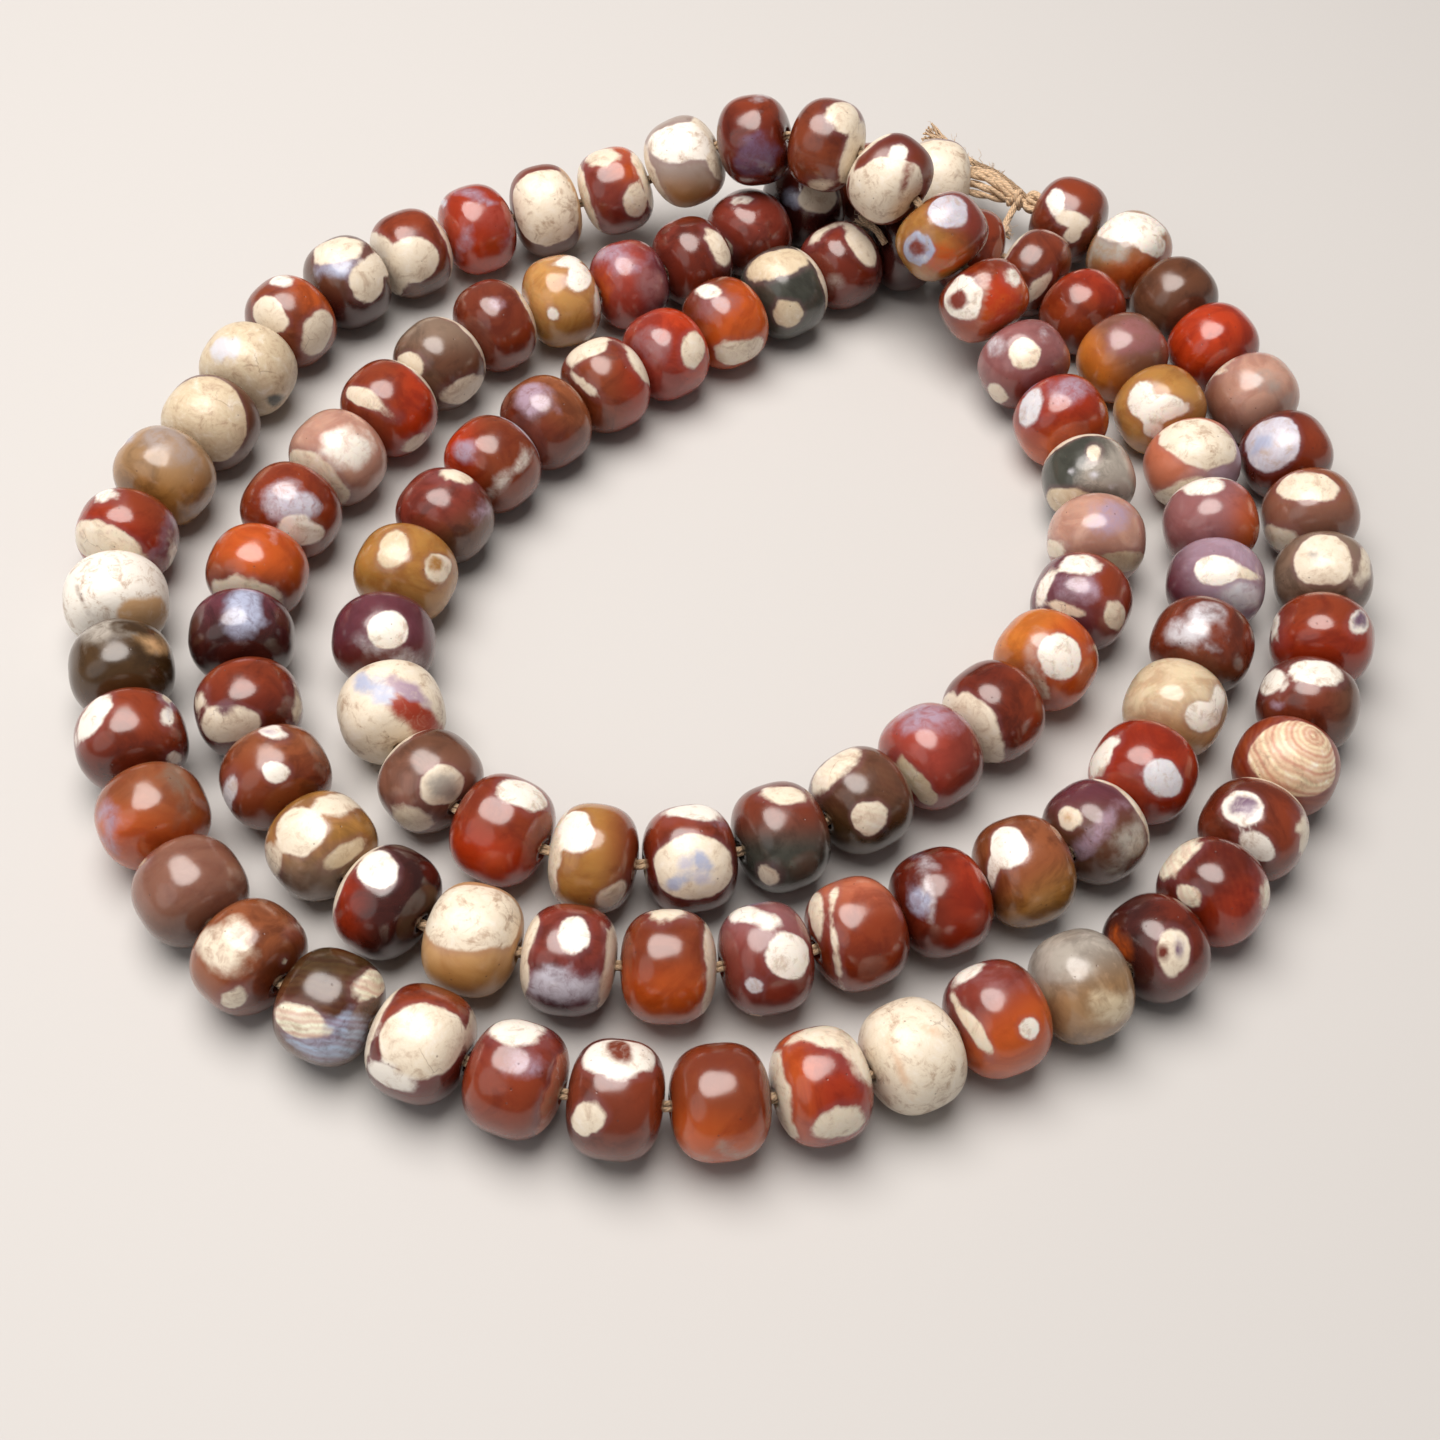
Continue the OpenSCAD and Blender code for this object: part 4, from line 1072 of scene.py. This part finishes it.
class NecklaceSizes(bpy.types.PropertyGroup):
    """Sizes of the beads and the yarn."""
    bead_d: bpy.props.FloatProperty(
        name="Bead diameter", description="Across the largest bead", default=0.012, unit="LENGTH")
    bead_len: bpy.props.FloatProperty(
        name="Bead length", description="Along the string", default=0.0098, unit="LENGTH")
    bead_gap: bpy.props.FloatProperty(
        name="Bead gap", description="Free room between beads", default=0.0002, unit="LENGTH")
    fullness: bpy.props.FloatProperty(
        name="Fullness", description="How drum-like the beads are", default=2.7)
    meeting_radius: bpy.props.FloatProperty(
        name="Meeting radius", description="Where two beads meet at a bend", default=0.0016, unit="LENGTH")
    bore_d: bpy.props.FloatProperty(
        name="Bore", description="Diameter of the drilled hole", default=0.002, unit="LENGTH")
    strand_d: bpy.props.FloatProperty(
        name="Strand", description="Thickness of one ply of yarn", default=0.0006, unit="LENGTH")
    end_d: bpy.props.FloatProperty(
        name="Yarn end", description="Thickness of a loose end", default=0.0011, unit="LENGTH")
    yarn_colour: bpy.props.FloatVectorProperty(
        name="Yarn colour", description="Colour of the cotton", default=(0.6, 0.42, 0.26), subtype="COLOR")


class StageLook(bpy.types.PropertyGroup):
    """Floor and light."""
    floor_colour: bpy.props.FloatVectorProperty(
        name="Floor", description="Colour of the floor", default=(0.52, 0.51, 0.5), subtype="COLOR")
    key_power: bpy.props.FloatProperty(
        name="Key light", description="Power of the overhead light", default=5.8, unit="POWER")
    fill_power: bpy.props.FloatProperty(
        name="Fill light", description="Power of the fill light", default=1.2, unit="POWER")


def the_string():
    """The necklace at the sizes of the panel."""
    return Necklace(bpy.context.scene.necklace_sizes)


def yarn_piece(name, node, paths, radius, yarn, sides=7):
    """Strands of yarn in the place of a node."""
    piece = strands(name, paths, radius, sides, yarn)
    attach(piece, "root")
    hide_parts(node)


class StringBeads(bpy.types.Operator):
    """Sets the agate beads on the string, one mesh for each family of stone"""
    bl_idname = "necklace.beads"
    bl_label = "Beads"

    def execute(self, context):
        sizes = context.scene.necklace_sizes
        string = the_string()
        form = add_object("bead_form", bead_mesh(sizes.fullness, sizes.bore_d / sizes.bead_d))
        per_bead = len(form.data.vertices)
        tree = strung_tree()
        for family in FAMILIES:
            chosen = [i for i, bead in enumerate(BEADS) if bead[0] == family]
            points = bpy.data.meshes.new(family)
            at, turn, size = [], [], []
            for i in chosen:
                centre, along, radius, half = string.beads[i]
                at.append(tuple((centre - string.middle) * MM))
                turn.append(tuple(Matrix(axes_of(along).T.tolist()).to_euler("XYZ")))
                size.append((radius * MM, radius * MM, half * MM))
            points.from_pydata(at, [], [])
            add_attribute(points, "turn", "FLOAT_VECTOR", turn)
            add_attribute(points, "size", "FLOAT_VECTOR", size)
            beads = baked(add_object(family, points), tree, family + "_beads", Bead=form,
                          Stone=stone_material(family))
            mesh = beads.data
            for name in ("turn", "size"):
                if name in mesh.attributes:
                    mesh.attributes.remove(mesh.attributes[name])
            wear_beads(mesh, string, chosen, per_bead)
            paint_beads(mesh, string, chosen, per_bead)
            tile_map(mesh, len(chosen))
            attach(beads, "root")
            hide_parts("beads")
        bpy.data.objects.remove(form, do_unlink=True)
        return {"FINISHED"}


# Twists of yarn: plies, their distance from the middle line and the length of a turn, in millimetres
THREAD_TWIST = (3, 0.33, 3.0)
BUNDLE_TWIST = (2, 0.2, 6.0)
WRAP_TWIST = (2, 0.24, 3.0)
END_TWIST = (5, 0.27, 9.0)
# Radius of a ply beside the knot and at a loose end
KNOT_PLY = 0.33
END_PLY = 0.25
# Turns of the knot's wraps and the angle at which they begin
WRAP_TURNS = 1.4
WRAP_START = 2.6
# Points along a wrap or a strand of the bundle and along a loose end, and its loose hairs
LINE_POINTS = 70
END_POINTS = 40
HAIRS = 22


class SpinYarn(bpy.types.Operator):
    """Spins the thread through the beads, the knot and the frayed ends"""
    bl_idname = "necklace.yarn"
    bl_label = "Yarn"

    def execute(self, context):
        sizes = context.scene.necklace_sizes
        string = the_string()
        yarn = yarn_material(sizes.yarn_colour)
        knot = string.string_at(KNOT_PLACE) - string.middle
        knot_along = unit(string.string_at(KNOT_PLACE + 0.2) - string.string_at(KNOT_PLACE - 0.2))
        side, rise, _ = axes_of(knot_along)
        side = side * np.sign(side @ (0, 1, 0))
        rise = rise * np.sign(rise[2])

        def at(base, away, up, forward=0):
            return base + side * away + rise * up + knot_along * forward

        joints = [string.string_at(BARE_PLACE + 0.5 + k * 0.25) - string.middle
                  for k in range(4 * BEAD_COUNT + 1)]
        yarn_piece("thread_strands", "thread", even(twisted(joints, *THREAD_TWIST)),
                   sizes.strand_d / MM / 2, yarn)
        near, far = joints[0], joints[-1]
        bundle = []
        for k, (s, r, ks, kr, fs, fr) in enumerate(FAN):
            line = smooth_path([
                at(near, s * 0.6, r * 0.6, 1.2), at(near, s, r),
                at(near * 0.55 + knot * 0.45, s * 0.85 + ks * 0.15, r * 0.85 + kr * 0.15),
                at(knot, ks, kr, 1.1), at(knot, -ks * 0.6, kr), at(knot, -ks, -kr * 0.5, -1.1),
                at(far * 0.6 + knot * 0.4, fs, fr), at(far, fs, fr),
                at(far, fs * 0.5, fr * 0.5, -1.2)], LINE_POINTS)
            bundle += twisted(line, *BUNDLE_TWIST, k)
        yarn_piece("bundle_strands", "thread", even(bundle), KNOT_PLY, yarn)
        wraps = []
        for u in np.linspace(0, 1, LINE_POINTS):
            t = 2 * math.pi * WRAP_TURNS * u + WRAP_START
            wraps.append(at(knot, 1.05 * math.cos(t), 0.95 * math.sin(t), 0.75 - 1.5 * u))
        yarn_piece("knot_wraps", "knot", even(twisted(wraps, *WRAP_TWIST)), KNOT_PLY, yarn, 8)
        tied = knot + string.middle
        self.loose_end("long_end_tuft", "long_end", [SEEN_LONG_END, SEEN_LONG_END[:3] + LONG_END_FORK],
                       string, yarn, 11, [at(tied, 0, 0.3, -1.2), at(tied, 0.5, 0.8, -0.2)])
        self.loose_end("short_end_tuft", "short_end", [SHORT_END, TUCKED_END],
                       string, yarn, 12, [at(tied, 0, 0.3, -0.4)])
        return {"FINISHED"}

    def loose_end(self, name, node, routes, string, yarn, seed, start):
        """Plies that part towards their tips, with loose hairs."""
        rng = np.random.default_rng(seed)
        paths = []
        for route in routes:
            placed = list(string.placed(route))
            if route is not TUCKED_END:
                placed = start + placed
            path = smooth_path(np.array(placed) - string.middle, END_POINTS)
            along = np.linspace(0, 1, END_POINTS)
            for line in twisted(path, *END_TWIST, 0.5, 0.9 + 1.4 * along ** 6):
                paths.append(list(zip(line, 1 - 0.45 * along ** 4)))
            for _ in range(HAIRS):
                root = rng.integers(14, END_POINTS - 2)
                way = unit(path[root + 1] - path[root - 1])
                drift = unit(way * 1.2 + rng.normal(size=3) * 0.8)
                length = rng.uniform(1.0, 2.6)
                bow = rng.normal(size=3) * 0.25
                hair = [path[root] + rng.normal(size=3) * 0.2 + drift * length * u + bow * u * u
                        for u in np.linspace(0, 1, 8)]
                paths.append([(p, 0.22 - 0.14 * k / 7) for k, p in enumerate(hair)])
        yarn_piece(name, node, paths, END_PLY, yarn)


# Metres from the middle of the floor to its sides
FLOOR_REACH = 2
WORLD_STRENGTH = 0.16


class SetStage(bpy.types.Operator):
    """Lays the floor, sets the lights and the camera"""
    bl_idname = "necklace.stage"
    bl_label = "Stage"

    def execute(self, context):
        look = context.scene.necklace_stage
        string = the_string()
        mesh = bpy.data.meshes.new("floor")
        corners = [(x * FLOOR_REACH, y * FLOOR_REACH, 0) for x, y in ((-1, -1), (1, -1), (1, 1), (-1, 1))]
        mesh.from_pydata(corners, [], [(0, 1, 2, 3)])
        made, nodes, shader = new_material("floor_matte")
        nodes.fill(shader, {"Base Color": look.floor_colour, "Roughness": 0.7})
        mesh.materials.append(made)
        add_object("floor", mesh)
        world = bpy.data.worlds.new("studio")
        world.use_nodes = True
        nodes = Nodes(world.node_tree)
        background = world.node_tree.nodes["Background"]
        nodes.fill(background, {"Color": (1, 0.98, 0.96), "Strength": WORLD_STRENGTH})
        context.scene.world = world
        self.area("key", (-0.13, 0.05, 0.56), 0.56, look.key_power, (1, 0.94, 0.89))
        self.area("fill", (-0.6, -0.5, 0.5), 0.8, look.fill_power, (1, 0.98, 0.96))
        right, up, look_way = camera_axes()
        data = bpy.data.cameras.new("photo_camera")
        data.lens = CAMERA_LENS
        data.sensor_width = CAMERA_SENSOR
        data.clip_start = 0.01
        data.clip_end = 10
        camera = add_object("photo_camera", data)
        place = camera_place(string) * MM
        turn = Matrix(np.array([right, up, -look_way]).T.tolist()).to_4x4()
        camera.matrix_world = Matrix.Translation(Vector(place.tolist())) @ turn
        context.scene.camera = camera
        context.scene.view_settings.view_transform = "Standard"
        return {"FINISHED"}

    def area(self, name, at, size, power, colour):
        """A round soft light that shines at the middle of the necklace."""
        data = bpy.data.lights.new(name, "AREA")
        data.shape = "DISK"
        data.size = size
        data.energy = power
        data.color = colour
        light = add_object(name, data)
        light.location = at
        light.rotation_mode = "QUATERNION"
        light.rotation_quaternion = (-Vector(at)).to_track_quat("-Z", "Y")


class NecklacePanel(bpy.types.Panel):
    """Sizes and steps of the bead necklace"""
    bl_idname = "VIEW3D_PT_necklace"
    bl_label = "Bead Necklace"
    bl_space_type = "VIEW_3D"
    bl_region_type = "UI"
    bl_category = "Necklace"

    def draw(self, context):
        for settings in (context.scene.necklace_sizes, context.scene.necklace_stage):
            for name in settings.__annotations__:
                self.layout.prop(settings, name)
        for step in STEPS:
            self.layout.operator(step.bl_idname)


STEPS = (StringBeads, SpinYarn, SetStage)
CLASSES = (NecklaceSizes, StageLook, *STEPS, NecklacePanel)


def register():
    for cls in CLASSES:
        bpy.utils.register_class(cls)
    bpy.types.Scene.necklace_sizes = bpy.props.PointerProperty(type=NecklaceSizes)
    bpy.types.Scene.necklace_stage = bpy.props.PointerProperty(type=StageLook)


def unregister():
    del bpy.types.Scene.necklace_stage
    del bpy.types.Scene.necklace_sizes
    for cls in reversed(CLASSES):
        bpy.utils.unregister_class(cls)


def main():
    register()
    bpy.ops.necklace.stage()
    bpy.ops.necklace.beads()
    bpy.ops.necklace.yarn()


if __name__ == "__main__":
    main()
